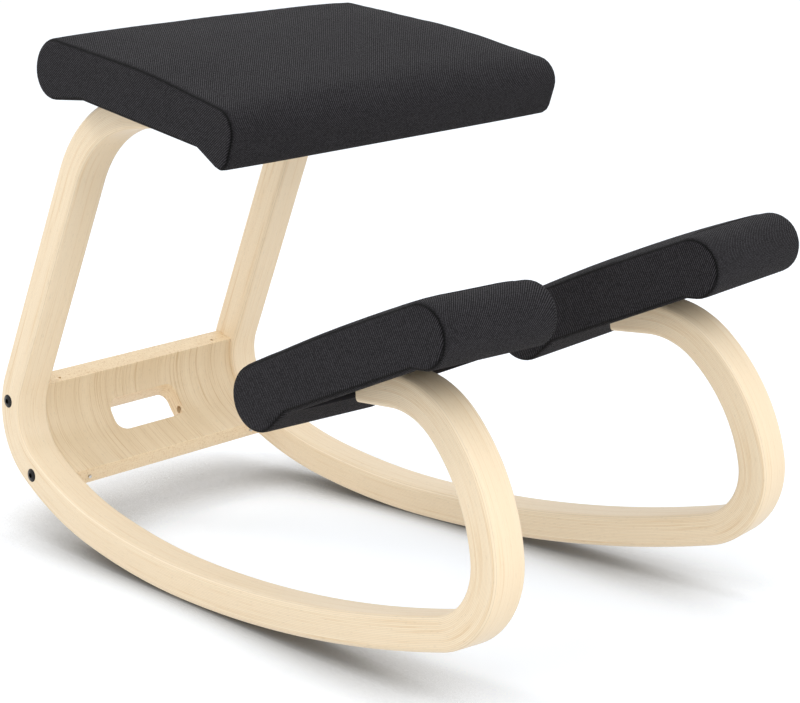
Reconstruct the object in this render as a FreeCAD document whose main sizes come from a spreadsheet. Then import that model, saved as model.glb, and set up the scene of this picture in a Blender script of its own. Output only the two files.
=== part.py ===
# Rocking kneeling chair: two bent laminated side frames, a curved cross panel,
# an upholstered seat and two upholstered knee pads, bolted together.
# Millimetres. The sitter faces -Y, +X is the sitter's left and +Z is up. The
# origin lies on the floor, under the middle of the chair's bounding box.
import FreeCAD, Part
import math
import os
import Sketcher

V = FreeCAD.Vector
X_AXIS = V(1, 0, 0)
Y_AXIS = V(0, 1, 0)
Z_AXIS = V(0, 0, 1)
RIGHT = -1
LEFT = 1
SIDES = ((RIGHT, "right"), (LEFT, "left"))

doc = FreeCAD.newDocument("KneelingChair")

# Driving dimensions
SIZES = (
    # Side frame: section of the laminated band and the radii of its outer surface
    ("band_thick", 31.7),
    ("band_width", 37.1),
    ("band_round", 4.5),
    ("runner_front_radius", 1284),
    ("runner_front_turn", 16.14),
    ("front_bend_radius", 84.5),
    ("front_bend_turn", 82.67),
    ("riser_radius", 183.5),
    ("riser_turn", 40.85),
    ("knee_bend_radius", 101.5),
    ("knee_bend_turn", 45.4),
    ("knee_end_length", 40),
    ("runner_rear_radius", 771),
    ("runner_rear_turn", 11.2),
    ("heel_radius", 338),
    ("heel_turn", 20.12),
    ("back_bend_radius", 83.6),
    ("back_bend_turn", 81.7),
    ("leg_length", 245),
    ("seat_bend_radius", 140.3),
    ("seat_bend_turn", 58),
    ("seat_end_length", 92),
    # How the two frames stand: spread to the front, leaning in at the top
    ("track_half", 169.4),
    ("splay_angle", 3.38),
    ("lean_angle", 2.55),
    # Cross panel, concentric with the frame's back bend
    ("panel_thick", 20),
    ("panel_recess", 4),
    ("panel_low_reach", 32),
    ("panel_bend_turn", 78.7),
    ("slot_length", 92),
    ("slot_height", 35.8),
    ("slot_round", 12),
    ("slot_angle", 45),
    ("slot_rise", 10.8),
    # Joints between panel and frames; angles are counted down from level, about
    # the centre of the back bend
    ("upper_bolt_angle", -4.5),
    ("lower_bolt_angle", 66.5),
    ("dowel_angle", 35.8),
    ("panel_bolt_depth", 14),
    ("panel_bolt_shank", 6),
    ("cap_dia", 13.4),
    ("cap_sink", 2.2),
    ("cap_rise", 1.6),
    ("sleeve_dia", 9),
    ("sleeve_length", 42),
    ("pin_dia", 3.5),
    ("pin_inset", 22),
    ("pin_below", 1.5),
    ("dowel_dia", 8),
    ("dowel_in_frame", 18),
    ("dowel_in_panel", 32),
    # Seat, in a frame that lies on the underside of its board
    ("seat_height", 463),
    ("seat_slope", 6.92),
    ("seat_width", 414.6),
    ("seat_taper", 4.15),
    ("seat_rear", 180.5),
    ("seat_front", 117),
    ("seat_rise", 43.5),
    ("seat_side_drop", 4),
    ("seat_crown", 6),
    ("seat_crown_radius", 900),
    ("seat_back_round", 32),
    ("seat_back_lip_round", 25),
    ("seat_back_lip_drop", 15.5),
    ("seat_nose_round", 21.5),
    ("seat_nose_height", 15.5),
    ("seat_lip_round", 12),
    ("seat_lip_drop", 17),
    ("seat_lip_setback", 4),
    ("seat_board_rear", 104),
    ("seat_board_front", 64),
    ("seat_board_thick", 12),
    ("seat_board_margin", 21),
    ("seat_bolt_first", 12),
    ("seat_bolt_pitch", 42),
    ("seat_bolt_grip", 9),
    # Knee pads, in a frame that lies on the underside of the board at the tip
    # of the side frame
    ("knee_tip_forward", 239),
    ("knee_tip_height", 256.5),
    ("knee_slope", 24.2),
    ("pad_toe_angle", 1.83),
    ("pad_lean_angle", 1.45),
    ("pad_outset", 2.9),
    ("pad_width", 132),
    ("pad_front", 177.6),
    ("pad_rear", 98.4),
    ("pad_front_round", 27),
    ("pad_rear_round", 28.8),
    ("pad_front_lip_drop", 8.7),
    ("pad_rear_lip_drop", 13),
    ("pad_rise", 46.8),
    ("pad_crown", 5),
    ("pad_crown_radius", 2500),
    ("pad_side_drop", 2.5),
    ("pad_board_front", 128),
    ("pad_board_rear", 33),
    ("pad_board_thick", 9),
    ("pad_board_margin", 12),
    ("pad_bolt_first", 14),
    ("pad_bolt_pitch", 25),
    ("pad_bolt_grip", 7),
    # Upholstery and the bolts from below
    ("cover_thick", 1.6),
    ("cover_lap", 3),
    ("bolt_shank", 6),
    ("bolt_head_dia", 11),
    ("bolt_head_thick", 3.6),
    ("bolt_socket", 4),
    ("bolt_socket_depth", 2.2),
    ("t_nut_flange", 19),
    ("t_nut_flange_thick", 1.5),
    ("t_nut_barrel", 8.5),
    ("t_nut_end_gap", 1),
    ("hole_clearance", 0.2),
    ("tab_length", 15),
    ("tab_height", 5),
    ("tab_thick", 0.9),
    ("tab_from_rear", 42),
    ("tab_below_top", 8),
    # Where the chair touches the floor, behind the middle of its box
    ("contact_back", 59.2),
)

sheet = doc.addObject("Spreadsheet::Sheet", "Sizes")
for row, (alias, value) in enumerate(SIZES, start=1):
    sheet.set("A%d" % row, alias)
    sheet.set("B%d" % row, str(value))
    sheet.setAlias("B%d" % row, alias)
doc.recompute()


def size(alias):
    return float(getattr(sheet, alias))


def bind(item, **expressions):
    for prop, expression in expressions.items():
        item.setExpression(prop, expression)
    return item


def turned(axis, degrees):
    return FreeCAD.Rotation(axis, degrees)


# Places of the main assemblies

def section_lift():
    """How far the lean sinks the inner edge of the band below its middle."""
    lean = math.radians(size("lean_angle"))
    flat_half = size("band_width") / 2 - size("band_round")
    return flat_half * math.sin(lean) + size("band_round") * (1 - math.cos(lean))


def frame_place(side):
    rotation = turned(Z_AXIS, side * size("splay_angle")) * turned(Y_AXIS, -side * size("lean_angle"))
    return FreeCAD.Placement(V(side * size("track_half"), size("contact_back"), section_lift()), rotation)


def seat_place():
    return FreeCAD.Placement(V(0, size("contact_back"), size("seat_height")), turned(X_AXIS, size("seat_slope")))


def pad_place(side):
    tip = frame_place(side).multVec(V(side * size("pad_outset"), -size("knee_tip_forward"), size("knee_tip_height")))
    spread = turned(Z_AXIS, side * size("pad_toe_angle")) * turned(Y_AXIS, -side * size("pad_lean_angle"))
    return FreeCAD.Placement(tip, spread * turned(X_AXIS, -size("knee_slope")))


def panel_place():
    return FreeCAD.Placement(V(0, size("contact_back"), section_lift()), FreeCAD.Rotation())


# Chains of tangent arcs and straight runs that the bent parts follow

FRONT_CHAIN = (
    ("arc", "runner_front_radius", "runner_front_turn"),
    ("arc", "front_bend_radius", "front_bend_turn"),
    ("arc", "riser_radius", "riser_turn"),
    ("arc", "knee_bend_radius", "knee_bend_turn"),
    ("line", "knee_end_length", None),
)
REAR_CHAIN = (
    ("arc", "runner_rear_radius", "runner_rear_turn"),
    ("arc", "heel_radius", "heel_turn"),
    ("arc", "back_bend_radius", "back_bend_turn"),
    ("line", "leg_length", None),
    ("arc", "seat_bend_radius", "seat_bend_turn"),
    ("line", "seat_end_length", None),
)
PANEL_CHAIN = REAR_CHAIN[:2] + (("arc", "back_bend_radius", "panel_bend_turn"),)


def left_of(heading):
    return V(-math.sin(heading), math.cos(heading), 0)


def ahead(heading):
    return V(math.cos(heading), math.sin(heading), 0)


def walk(chain, depth, sense):
    """Trace a chain at a depth below the band's outer surface.

    sense is 1 for the rearward chain, which turns to the left, and -1 for the
    forward chain, which turns to the right. Yields kind, start, end, heading at
    the start, centre and radius, in the plane of the band (y, z).
    """
    point = V(0, depth, 0)
    heading = 0.0 if sense > 0 else math.pi
    for kind, length_name, turn_name in chain:
        if kind == "arc":
            radius = size(length_name) - depth
            turn = math.radians(size(turn_name))
            centre = point + left_of(heading) * (sense * radius)
            end_heading = heading + sense * turn
            end = centre - left_of(end_heading) * (sense * radius)
            yield kind, point, end, heading, centre, radius
            heading = end_heading
        else:
            end = point + ahead(heading) * size(length_name)
            yield kind, point, end, heading, None, None
        point = end


def add_path(body, name, chain, depth_expression, depth, sense):
    """A fully bound sketch of a chain, in the body's YZ plane."""
    sketch = body.newObject("Sketcher::SketchObject", name)
    sketch.AttachmentSupport = [(plane(body, "YZ_Plane"), "")]
    sketch.MapMode = "FlatFace"
    enter, leave = (1, 2) if sense > 0 else (2, 1)
    last = None
    for (kind, start, end, heading, centre, radius), (_, length_name, turn_name) in zip(
            walk(chain, depth, sense), chain):
        if kind == "arc":
            first = heading - sense * math.pi / 2
            turn = math.radians(size(turn_name))
            low, high = (first, first + turn) if sense > 0 else (first - turn, first)
            circle = Part.Circle(centre, Z_AXIS, radius)
            edge = sketch.addGeometry(Part.ArcOfCircle(circle, low, high))
            rule = sketch.addConstraint(Sketcher.Constraint("Radius", edge, radius))
            sketch.setExpression("Constraints[%d]" % rule, "Sizes.%s - (%s)" % (length_name, depth_expression))
            rule = sketch.addConstraint(Sketcher.Constraint("Angle", edge, turn))
            sketch.setExpression("Constraints[%d]" % rule, "Sizes.%s * 1deg" % turn_name)
            ends = (enter, leave)
        else:
            edge = sketch.addGeometry(Part.LineSegment(start, end))
            rule = sketch.addConstraint(Sketcher.Constraint("Distance", edge, size(length_name)))
            sketch.setExpression("Constraints[%d]" % rule, "Sizes.%s" % length_name)
            ends = (1, 2)
        if last is None:
            sketch.addConstraint(Sketcher.Constraint("PointOnObject", edge, 3, -2))
            sketch.addConstraint(Sketcher.Constraint("PointOnObject", edge, ends[0], -2))
            rule = sketch.addConstraint(Sketcher.Constraint("DistanceY", -1, 1, edge, ends[0], depth))
            sketch.setExpression("Constraints[%d]" % rule, depth_expression)
        else:
            sketch.addConstraint(Sketcher.Constraint("Tangent", last[0], last[1], edge, ends[0]))
        last = (edge, ends[1])
    return sketch


def plane(body, role):
    return [item for item in body.Origin.OriginFeatures if item.Role == role][0]


def add_rounded_rectangle(body, name, role, across, high, middle, corner):
    """A bound rounded rectangle about the sketch's vertical axis.

    across, high, middle and corner are pairs of a value and its expression;
    middle is the height of the rectangle's centre.
    """
    sketch = body.newObject("Sketcher::SketchObject", name)
    sketch.AttachmentSupport = [(plane(body, role), "")]
    sketch.MapMode = "FlatFace"
    half = across[0] / 2
    low = middle[0] - high[0] / 2
    top = middle[0] + high[0] / 2
    rad = corner[0]
    corners = ((half - rad, low + rad, -90), (half - rad, top - rad, 0),
               (rad - half, top - rad, 90), (rad - half, low + rad, 180))
    arcs = []
    for cx, cz, first in corners:
        circle = Part.Circle(V(cx, cz, 0), Z_AXIS, rad)
        low_turn = math.radians(first)
        arcs.append(sketch.addGeometry(Part.ArcOfCircle(circle, low_turn, low_turn + math.pi / 2)))
    runs = []
    for here, there in zip(arcs, arcs[1:] + arcs[:1]):
        start = sketch.getPoint(here, 2)
        end = sketch.getPoint(there, 1)
        run = sketch.addGeometry(Part.LineSegment(start, end))
        sketch.addConstraint(Sketcher.Constraint("Tangent", here, 2, run, 1))
        sketch.addConstraint(Sketcher.Constraint("Tangent", run, 2, there, 1))
        runs.append(run)
    right_run, top_run, left_run, low_run = runs
    for run in (right_run, left_run):
        sketch.addConstraint(Sketcher.Constraint("Vertical", run))
    for run in (top_run, low_run):
        sketch.addConstraint(Sketcher.Constraint("Horizontal", run))
    rule = sketch.addConstraint(Sketcher.Constraint("Radius", arcs[0], rad))
    sketch.setExpression("Constraints[%d]" % rule, corner[1])
    for arc in arcs[1:]:
        sketch.addConstraint(Sketcher.Constraint("Equal", arcs[0], arc))
    rule = sketch.addConstraint(Sketcher.Constraint("DistanceX", -1, 1, right_run, 1, half))
    sketch.setExpression("Constraints[%d]" % rule, "(%s) / 2" % across[1])
    rule = sketch.addConstraint(Sketcher.Constraint("DistanceX", left_run, 1, -1, 1, half))
    sketch.setExpression("Constraints[%d]" % rule, "(%s) / 2" % across[1])
    rule = sketch.addConstraint(Sketcher.Constraint("DistanceY", low_run, 1, top_run, 1, high[0]))
    sketch.setExpression("Constraints[%d]" % rule, high[1])
    rule = sketch.addConstraint(Sketcher.Constraint("DistanceY", -1, 1, top_run, 1, top))
    sketch.setExpression("Constraints[%d]" % rule, "%s + (%s) / 2" % (middle[1], high[1]))
    return sketch


def add_pipe(body, name, section, path):
    pipe = body.newObject("PartDesign::AdditivePipe", name)
    pipe.Profile = section
    pipe.Spine = (path, ["Edge%d" % (i + 1) for i in range(len(path.Geometry))])
    return pipe


# Plain tools and fastener blanks

def add_cylinder(name, radius, height, place):
    item = doc.addObject("Part::Cylinder", name)
    bind(item, Radius=radius, Height=height)
    item.Placement = place
    return item


def add_box(name, length, width, height, place):
    item = doc.addObject("Part::Box", name)
    bind(item, Length=length, Width=width, Height=height)
    item.Placement = place
    return item


def at(place, x, y, z, rotation=None):
    return place.multiply(FreeCAD.Placement(V(x, y, z), rotation or FreeCAD.Rotation()))


def fuse(name, items):
    item = doc.addObject("Part::MultiFuse", name)
    item.Shapes = items
    return item


def cut(name, base, tools):
    item = doc.addObject("Part::Cut", name)
    item.Base = base
    item.Tool = tools[0] if len(tools) == 1 else fuse(name + "_tools", tools)
    return item


def group(name, items):
    item = doc.addObject("Part::Compound", name)
    item.Links = items
    return item


parts = []


def finish(item, label):
    item.Label = label
    parts.append(item)
    return item


# Points shared by the frames and what is bolted to them

def seat_bolt_points(side):
    """Bolt axes through the seat end of a frame, on the underside of the board."""
    into_seat = seat_place().inverse()
    tip = list(walk(REAR_CHAIN, size("band_thick"), 1))[-1][2]
    points = []
    for number in range(2):
        run = size("seat_bolt_first") + number * size("seat_bolt_pitch")
        spot = into_seat.multVec(frame_place(side).multVec(V(0, tip.x + run, tip.y)))
        points.append(V(spot.x, spot.y, 0))
    return points


def pad_bolt_points(side):
    """Bolt axes through the knee end of a frame, on the underside of the board."""
    first = size("pad_bolt_first")
    return [V(-side * size("pad_outset"), -first - number * size("pad_bolt_pitch"), 0) for number in range(2)]


def bend_centre():
    return list(walk(REAR_CHAIN, 0, 1))[2][4]


def on_bend(depth, angle_name):
    """A point at a depth under the outer surface of the back bend, so far below level."""
    angle = math.radians(size(angle_name))
    reach = size("back_bend_radius") - depth
    return bend_centre() + V(reach * math.cos(angle), -reach * math.sin(angle), 0)


def panel_bolt_points():
    return {"upper": on_bend(size("panel_bolt_depth"), "upper_bolt_angle"),
            "lower": on_bend(size("panel_bolt_depth"), "lower_bolt_angle")}


def dowel_point():
    return on_bend(panel_middle_depth(), "dowel_angle")


def panel_middle_depth():
    return size("band_thick") - size("panel_recess") - size("panel_thick") / 2


# Side frames

SIDEWAYS = turned(Y_AXIS, 90)


def make_side_frame(side, word):
    body = doc.addObject("PartDesign::Body", word + "_band")
    body.Placement = frame_place(side)
    middle = size("band_thick") / 2
    section = add_rounded_rectangle(
        body, word + "_section", "XZ_Plane", (size("band_width"), "Sizes.band_width"),
        (size("band_thick"), "Sizes.band_thick"), (middle, "Sizes.band_thick / 2"),
        (size("band_round"), "Sizes.band_round"))
    front = add_path(body, word + "_front_path", FRONT_CHAIN, "Sizes.band_thick / 2", middle, -1)
    rear = add_path(body, word + "_rear_path", REAR_CHAIN, "Sizes.band_thick / 2", middle, 1)
    doc.recompute()
    add_pipe(body, word + "_front_run", section, front)
    doc.recompute()
    add_pipe(body, word + "_rear_run", section, rear)
    doc.recompute()

    tools = []
    # The seat end is planed to the underside of the seat board, the knee end to
    # the underside of the pad's board.
    reach = size("seat_width")
    tools.append(add_box(
        word + "_seat_plane", "Sizes.seat_width", "Sizes.seat_width", "Sizes.seat_width",
        at(seat_place(), -reach / 2 + side * reach / 2, -reach / 2, 0)))
    tools.append(add_box(
        word + "_knee_plane", "Sizes.pad_width", "Sizes.pad_width * 2", "Sizes.pad_width",
        at(pad_place(side), -size("pad_width") / 2, -1.5 * size("pad_width"), 0)))
    # Bolt holes from below, each with a counterbore for the head
    for number, spot in enumerate(seat_bolt_points(side)):
        tools += bolt_hole(word + "_seat_hole_%d" % number, seat_place(), spot, "seat_bolt_grip")
    for number, spot in enumerate(pad_bolt_points(side)):
        tools += bolt_hole(word + "_knee_hole_%d" % number, pad_place(side), spot, "pad_bolt_grip")
    # Bolt and dowel holes for the cross panel, with a sunk seat for each cap
    half = size("band_width") / 2
    for spot in panel_bolt_points().values():
        tools.append(add_cylinder(
            word + "_panel_hole", "Sizes.panel_bolt_shank / 2 + Sizes.hole_clearance", "Sizes.band_width * 2",
            at(frame_place(side), -size("band_width"), spot.x, spot.y, SIDEWAYS)))
        start = half - size("cap_sink") if side > 0 else -half - size("cap_sink")
        tools.append(add_cylinder(
            word + "_cap_seat", "Sizes.cap_dia / 2 + Sizes.hole_clearance", "Sizes.cap_sink * 2",
            at(frame_place(side), start, spot.x, spot.y, SIDEWAYS)))
    spot = dowel_point()
    start = -half if side > 0 else half - size("dowel_in_frame")
    tools.append(add_cylinder(
        word + "_dowel_hole", "Sizes.dowel_dia / 2", "Sizes.dowel_in_frame",
        at(frame_place(side), start, spot.x, spot.y, SIDEWAYS)))
    return finish(cut(word + "_frame", body, tools), word + "_side_frame")


def bolt_hole(name, place, spot, grip_name):
    """A hole up to the board and a counterbore below the grip."""
    grip = size(grip_name)
    depth = 2 * size("band_thick")
    hole = add_cylinder(
        name, "Sizes.bolt_shank / 2 + Sizes.hole_clearance", "Sizes.band_thick * 2",
        at(place, spot.x, spot.y, -depth))
    bore = add_cylinder(
        name + "_bore", "Sizes.bolt_head_dia / 2 + Sizes.hole_clearance", "Sizes.band_thick * 2",
        at(place, spot.x, spot.y, -grip - depth))
    return [hole, bore]


# Cross panel

def make_cross_panel():
    body = doc.addObject("PartDesign::Body", "panel_blank")
    body.Placement = panel_place()
    middle = panel_middle_depth()
    middle_expression = "Sizes.band_thick - Sizes.panel_recess - Sizes.panel_thick / 2"
    section = add_rounded_rectangle(
        body, "panel_section", "XZ_Plane", (2 * size("track_half"), "2 * Sizes.track_half"),
        (size("panel_thick"), "Sizes.panel_thick"), (middle, middle_expression),
        (size("panel_thick") / 8, "Sizes.panel_thick / 8"))
    path = add_path(body, "panel_path", PANEL_CHAIN, middle_expression, middle, 1)
    doc.recompute()
    add_pipe(body, "panel_run", section, path)
    doc.recompute()

    tools = []
    # The lower edge, square to the panel a little way before the back bend
    spot, heading = panel_low_edge()
    low = at(panel_place(), -size("track_half"), spot.x, spot.y, turned(X_AXIS, math.degrees(heading)))
    tools.append(add_box(
        "panel_low_trim", "2 * Sizes.track_half", "Sizes.runner_rear_radius", "Sizes.heel_radius",
        at(low, 0, -size("runner_rear_radius"), -size("heel_radius") / 2)))
    # The ends, against the inner faces of the side frames
    for side, word in SIDES:
        across = size("band_width")
        start = -across / 2 if side > 0 else -1.5 * across
        tools.append(add_box(
            word + "_panel_trim", "Sizes.band_width * 2", "Sizes.heel_radius * 2", "Sizes.heel_radius",
            at(frame_place(side), start, 0, -size("heel_radius") / 3)))
    # The hand slot, cut through steeply from the front
    centre = bend_centre()
    slot_line = at(panel_place(), 0, centre.x, centre.y, turned(X_AXIS, -size("slot_angle")))
    slot = add_box("slot_block", "Sizes.slot_length", "Sizes.panel_thick * 3", "Sizes.slot_height",
                   at(slot_line, -size("slot_length") / 2, inner_reach() - size("panel_thick"),
                      size("slot_rise") - size("slot_height") / 2))
    doc.recompute()
    rounded = doc.addObject("Part::Fillet", "slot_tool")
    rounded.Base = slot
    rounded.Edges = [(number + 1, size("slot_round"), size("slot_round"))
                     for number, edge in enumerate(slot.Shape.Edges)
                     if abs(edge.Length - 3 * size("panel_thick")) < 0.01]
    tools.append(rounded)
    # Sockets for the sleeve nuts, pin holes that lock them, and dowel holes
    for side, word in SIDES:
        for height, spot in panel_bolt_points().items():
            tools.append(add_cylinder(
                word + "_sleeve_hole", "Sizes.sleeve_dia / 2", "Sizes.sleeve_length",
                sleeve_place(side, spot)))
            tools.append(add_cylinder(
                word + "_pin_hole", "Sizes.pin_dia / 2", "Sizes.back_bend_radius / 2",
                pin_place(side, height)))
        tools.append(add_cylinder(
            word + "_panel_dowel_hole", "Sizes.dowel_dia / 2", "Sizes.track_half",
            dowel_hole_place(side)))
    return finish(cut("panel", body, tools), "cross_panel")


def inner_reach():
    """From the bend's centre to a little short of the panel's front surface."""
    return size("back_bend_radius") - size("band_thick") - size("panel_recess")


def inner_face(side):
    """Distance of a frame's inner face from the frame's middle, signed."""
    return -side * size("band_width") / 2


def sleeve_place(side, spot):
    """The sleeve nut starts at the panel's end and runs to the middle of the chair."""
    start = inner_face(side) if side < 0 else inner_face(side) - size("sleeve_length")
    return at(frame_place(side), start, spot.x, spot.y, SIDEWAYS)


def dowel_hole_place(side):
    """The dowel hole runs from the panel's end into the end wall of the slot."""
    spot = dowel_point()
    start = inner_face(side) if side < 0 else inner_face(side) - size("track_half")
    return at(frame_place(side), start, spot.x, spot.y, SIDEWAYS)


def panel_edge_points():
    """The middles of the panel's upper and lower edges, in the plane of a frame."""
    runs = list(walk(PANEL_CHAIN, panel_middle_depth(), 1))
    return {"upper": runs[-1][2], "lower": panel_low_edge()[0]}


def panel_low_edge():
    """Where the panel's middle line starts, and its heading there."""
    heel = list(walk(PANEL_CHAIN, panel_middle_depth(), 1))[1]
    heading, centre, radius = heel[3:]
    here = heading + math.radians(size("heel_turn")) - size("panel_low_reach") / radius
    return centre - left_of(here) * radius, here


def pin_line(height):
    """From the sleeve nut to the panel's edge: a start and a vector, in a frame's plane."""
    bolt = panel_bolt_points()[height]
    reach = panel_edge_points()[height] - bolt
    start = bolt + reach * (size("sleeve_dia") / 2 / reach.Length)
    return start, reach * (1 - size("sleeve_dia") / 2 / reach.Length)


def pin_place(side, height):
    across = inner_face(side) - side * size("pin_inset")
    start, reach = pin_line(height)
    return at(frame_place(side), across, start.x, start.y, FreeCAD.Rotation(Z_AXIS, V(0, reach.x, reach.y)))


# Panel fasteners

def make_panel_fasteners(side, word):
    half = size("band_width") / 2
    nuts = []
    pins = []
    for height, spot in panel_bolt_points().items():
        # Shank from the cap through the frame into the sleeve nut
        head = side * (half - size("cap_sink"))
        length = size("band_width") - size("cap_sink") + size("pin_inset") - size("pin_dia")
        start = head - length if side > 0 else head
        shank = add_cylinder("%s_%s_shank" % (word, height), "Sizes.panel_bolt_shank / 2",
                             "Sizes.band_width - Sizes.cap_sink + Sizes.pin_inset - Sizes.pin_dia",
                             at(frame_place(side), start, spot.x, spot.y, SIDEWAYS))
        # Domed cap: a short disc that sits in the frame and a shallow dome on it
        disc_start = head if side > 0 else head - size("cap_sink")
        disc = add_cylinder("%s_%s_disc" % (word, height), "Sizes.cap_dia / 2", "Sizes.cap_sink",
                            at(frame_place(side), disc_start, spot.x, spot.y, SIDEWAYS))
        rise = size("cap_rise")
        ball_radius = (size("cap_dia") ** 2 / 4 + rise ** 2) / (2 * rise)
        ball = doc.addObject("Part::Sphere", "%s_%s_ball" % (word, height))
        bind(ball, Radius="(Sizes.cap_dia ^ 2 / 4 + Sizes.cap_rise ^ 2) / (2 * Sizes.cap_rise)")
        ball.Placement = at(frame_place(side), side * (half + rise - ball_radius), spot.x, spot.y)
        dome_start = half if side > 0 else -half - 2 * rise
        slab = add_cylinder("%s_%s_slab" % (word, height), "Sizes.cap_dia", "Sizes.cap_rise * 2",
                            at(frame_place(side), dome_start, spot.x, spot.y, SIDEWAYS))
        dome = doc.addObject("Part::Common", "%s_%s_dome" % (word, height))
        dome.Base = ball
        dome.Tool = slab
        finish(fuse("%s_%s_bolt" % (word, height), [shank, disc, dome]), "%s_%s_panel_bolt" % (word, height))
        # Sleeve nut with its thread bore
        outside = add_cylinder("%s_%s_sleeve" % (word, height), "Sizes.sleeve_dia / 2", "Sizes.sleeve_length",
                               sleeve_place(side, spot))
        bore_start = inner_face(side) if side < 0 else inner_face(side) - size("pin_inset")
        bore = add_cylinder("%s_%s_thread" % (word, height), "Sizes.panel_bolt_shank / 2 + Sizes.hole_clearance / 2",
                            "Sizes.pin_inset", at(frame_place(side), bore_start, spot.x, spot.y, SIDEWAYS))
        nuts.append(cut("%s_%s_nut" % (word, height), outside, [bore]))
        # Lock pin, driven in from the panel's edge until it bears on the sleeve nut
        pin = add_cylinder("%s_%s_pin" % (word, height), "(Sizes.pin_dia - Sizes.hole_clearance) / 2",
                           "%r - Sizes.pin_below" % pin_line(height)[1].Length, pin_place(side, height))
        pins.append(pin)
    finish(group(word + "_nuts", nuts), word + "_panel_sleeve_nuts")
    finish(group(word + "_pins", pins), word + "_panel_lock_pins")
    spot = dowel_point()
    start = inner_face(side) - (size("dowel_in_frame") if side < 0 else size("dowel_in_panel"))
    finish(add_cylinder(word + "_dowel", "Sizes.dowel_dia / 2", "Sizes.dowel_in_frame + Sizes.dowel_in_panel",
                        at(frame_place(side), start, spot.x, spot.y, SIDEWAYS)), word + "_locating_dowel")


# Upholstery: outlines are belts around circles, lofted across the width

def belt(circles, step, half, taper, inset):
    """A closed outline around circles (y, z, radius), at one step across a cushion.

    The circles come in counter-clockwise order seen from +X; a radius of nothing
    is a corner. half is half the width at y = 0, and taper is how much of it is
    lost with each unit of y. inset draws the outline in by the cover's thickness.
    """
    def across(y, z):
        return V(step * (half - taper * y), y, z)

    shrunk = [(y, z if rad else z + inset, max(rad - inset, 0)) for y, z, rad in circles]
    normals = []
    for (y0, z0, r0), (y1, z1, r1) in zip(shrunk, shrunk[1:] + shrunk[:1]):
        gap = V(0, y1 - y0, z1 - z0)
        share = max(-1.0, min(1.0, round((r0 - r1) / gap.Length, 9)))
        gap.normalize()
        right = V(0, gap.z, -gap.y)
        normals.append(gap * share + right * math.sqrt(1 - share * share))
    edges = []
    for number, (y, z, rad) in enumerate(shrunk):
        before = normals[number - 1]
        after = normals[number]
        if rad:
            start = math.atan2(before.z, before.y)
            sweep = (math.atan2(after.z, after.y) - start) % (2 * math.pi)
            turns = [start + sweep * quarter / 4 for quarter in range(5)]
            spots = [across(y + rad * math.cos(turn), z + rad * math.sin(turn)) for turn in turns]
            edges.append(Part.Arc(spots[0], spots[1], spots[2]).toShape())
            edges.append(Part.Arc(spots[2], spots[3], spots[4]).toShape())
        y1, z1, rad1 = shrunk[(number + 1) % len(shrunk)]
        leave = across(y + after.y * rad, z + after.z * rad)
        arrive = across(y1 + after.y * rad1, z1 + after.z * rad1)
        if (arrive - leave).Length > 0.001:
            edges.append(Part.makeLine(leave, arrive))
    return Part.Wire(edges)


# How far across each loft section lies and how much of the crown it has. The
# outermost sections lie past the ends, which are then cut off flat.
CROWN_STEPS = ((-1.04, 0), (-0.99, 0), (-0.86, 0.6), (-0.5, 0.93), (0, 1),
               (0.5, 0.93), (0.86, 0.6), (0.99, 0), (1.04, 0))


def cushion_loft(outline, half, taper, crown, inset):
    wires = [belt(outline(crown * share), step, half, taper, inset) for step, share in CROWN_STEPS]
    return Part.makeLoft(wires, True, False)


def end_slab(half, taper, reach):
    """A block between a cushion's two end planes, past the box reach all round."""
    corners = [V(side * (half - taper * y), y, reach.ZMin - 1)
               for side, y in ((-1, reach.YMin - 1), (1, reach.YMin - 1), (1, reach.YMax + 1), (-1, reach.YMax + 1))]
    return Part.Face(Part.makePolygon(corners + corners[:1])).extrude(V(0, 0, reach.ZLength + 2))


def seat_outline(crown):
    rear = size("seat_rear") + crown / 4
    front = -size("seat_front") - crown / 4
    back_round = size("seat_back_round") + crown / 3
    nose = size("seat_nose_round") + crown / 3
    lip = size("seat_lip_round")
    back_height = size("seat_back_lip_round") - size("seat_back_lip_drop")
    return (
        (-size("seat_board_front") - size("cover_lap"), -size("seat_side_drop"), 0),
        (size("seat_board_rear") + size("cover_lap"), -size("seat_side_drop"), 0),
        (rear - size("seat_back_lip_round"), back_height, size("seat_back_lip_round")),
        (rear - back_round, back_height, back_round),
        ((size("seat_rear") - size("seat_front")) / 2, size("seat_rise") + crown - size("seat_crown_radius"),
         size("seat_crown_radius")),
        (front + nose, size("seat_nose_height") + crown / 3, nose),
        (front + lip + size("seat_lip_setback"), lip - size("seat_lip_drop"), lip),
    )


def pad_outline(crown):
    rear_round = size("pad_rear_round") + crown / 4
    front_round = size("pad_front_round") + crown / 4
    return (
        (-size("pad_board_front") - size("cover_lap"), -size("pad_side_drop"), 0),
        (size("pad_board_rear") + size("cover_lap"), -size("pad_side_drop"), 0),
        (size("pad_rear") + crown / 5 - rear_round, rear_round - size("pad_rear_lip_drop"), rear_round),
        ((size("pad_rear") - size("pad_front")) / 2, size("pad_rise") + crown - size("pad_crown_radius"),
         size("pad_crown_radius")),
        (front_round - size("pad_front") - crown / 5, front_round - size("pad_front_lip_drop"), front_round),
    )


def add_shape(name, shape, place):
    item = doc.addObject("Part::Feature", name)
    item.Shape = shape
    item.Placement = place
    return item


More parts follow.
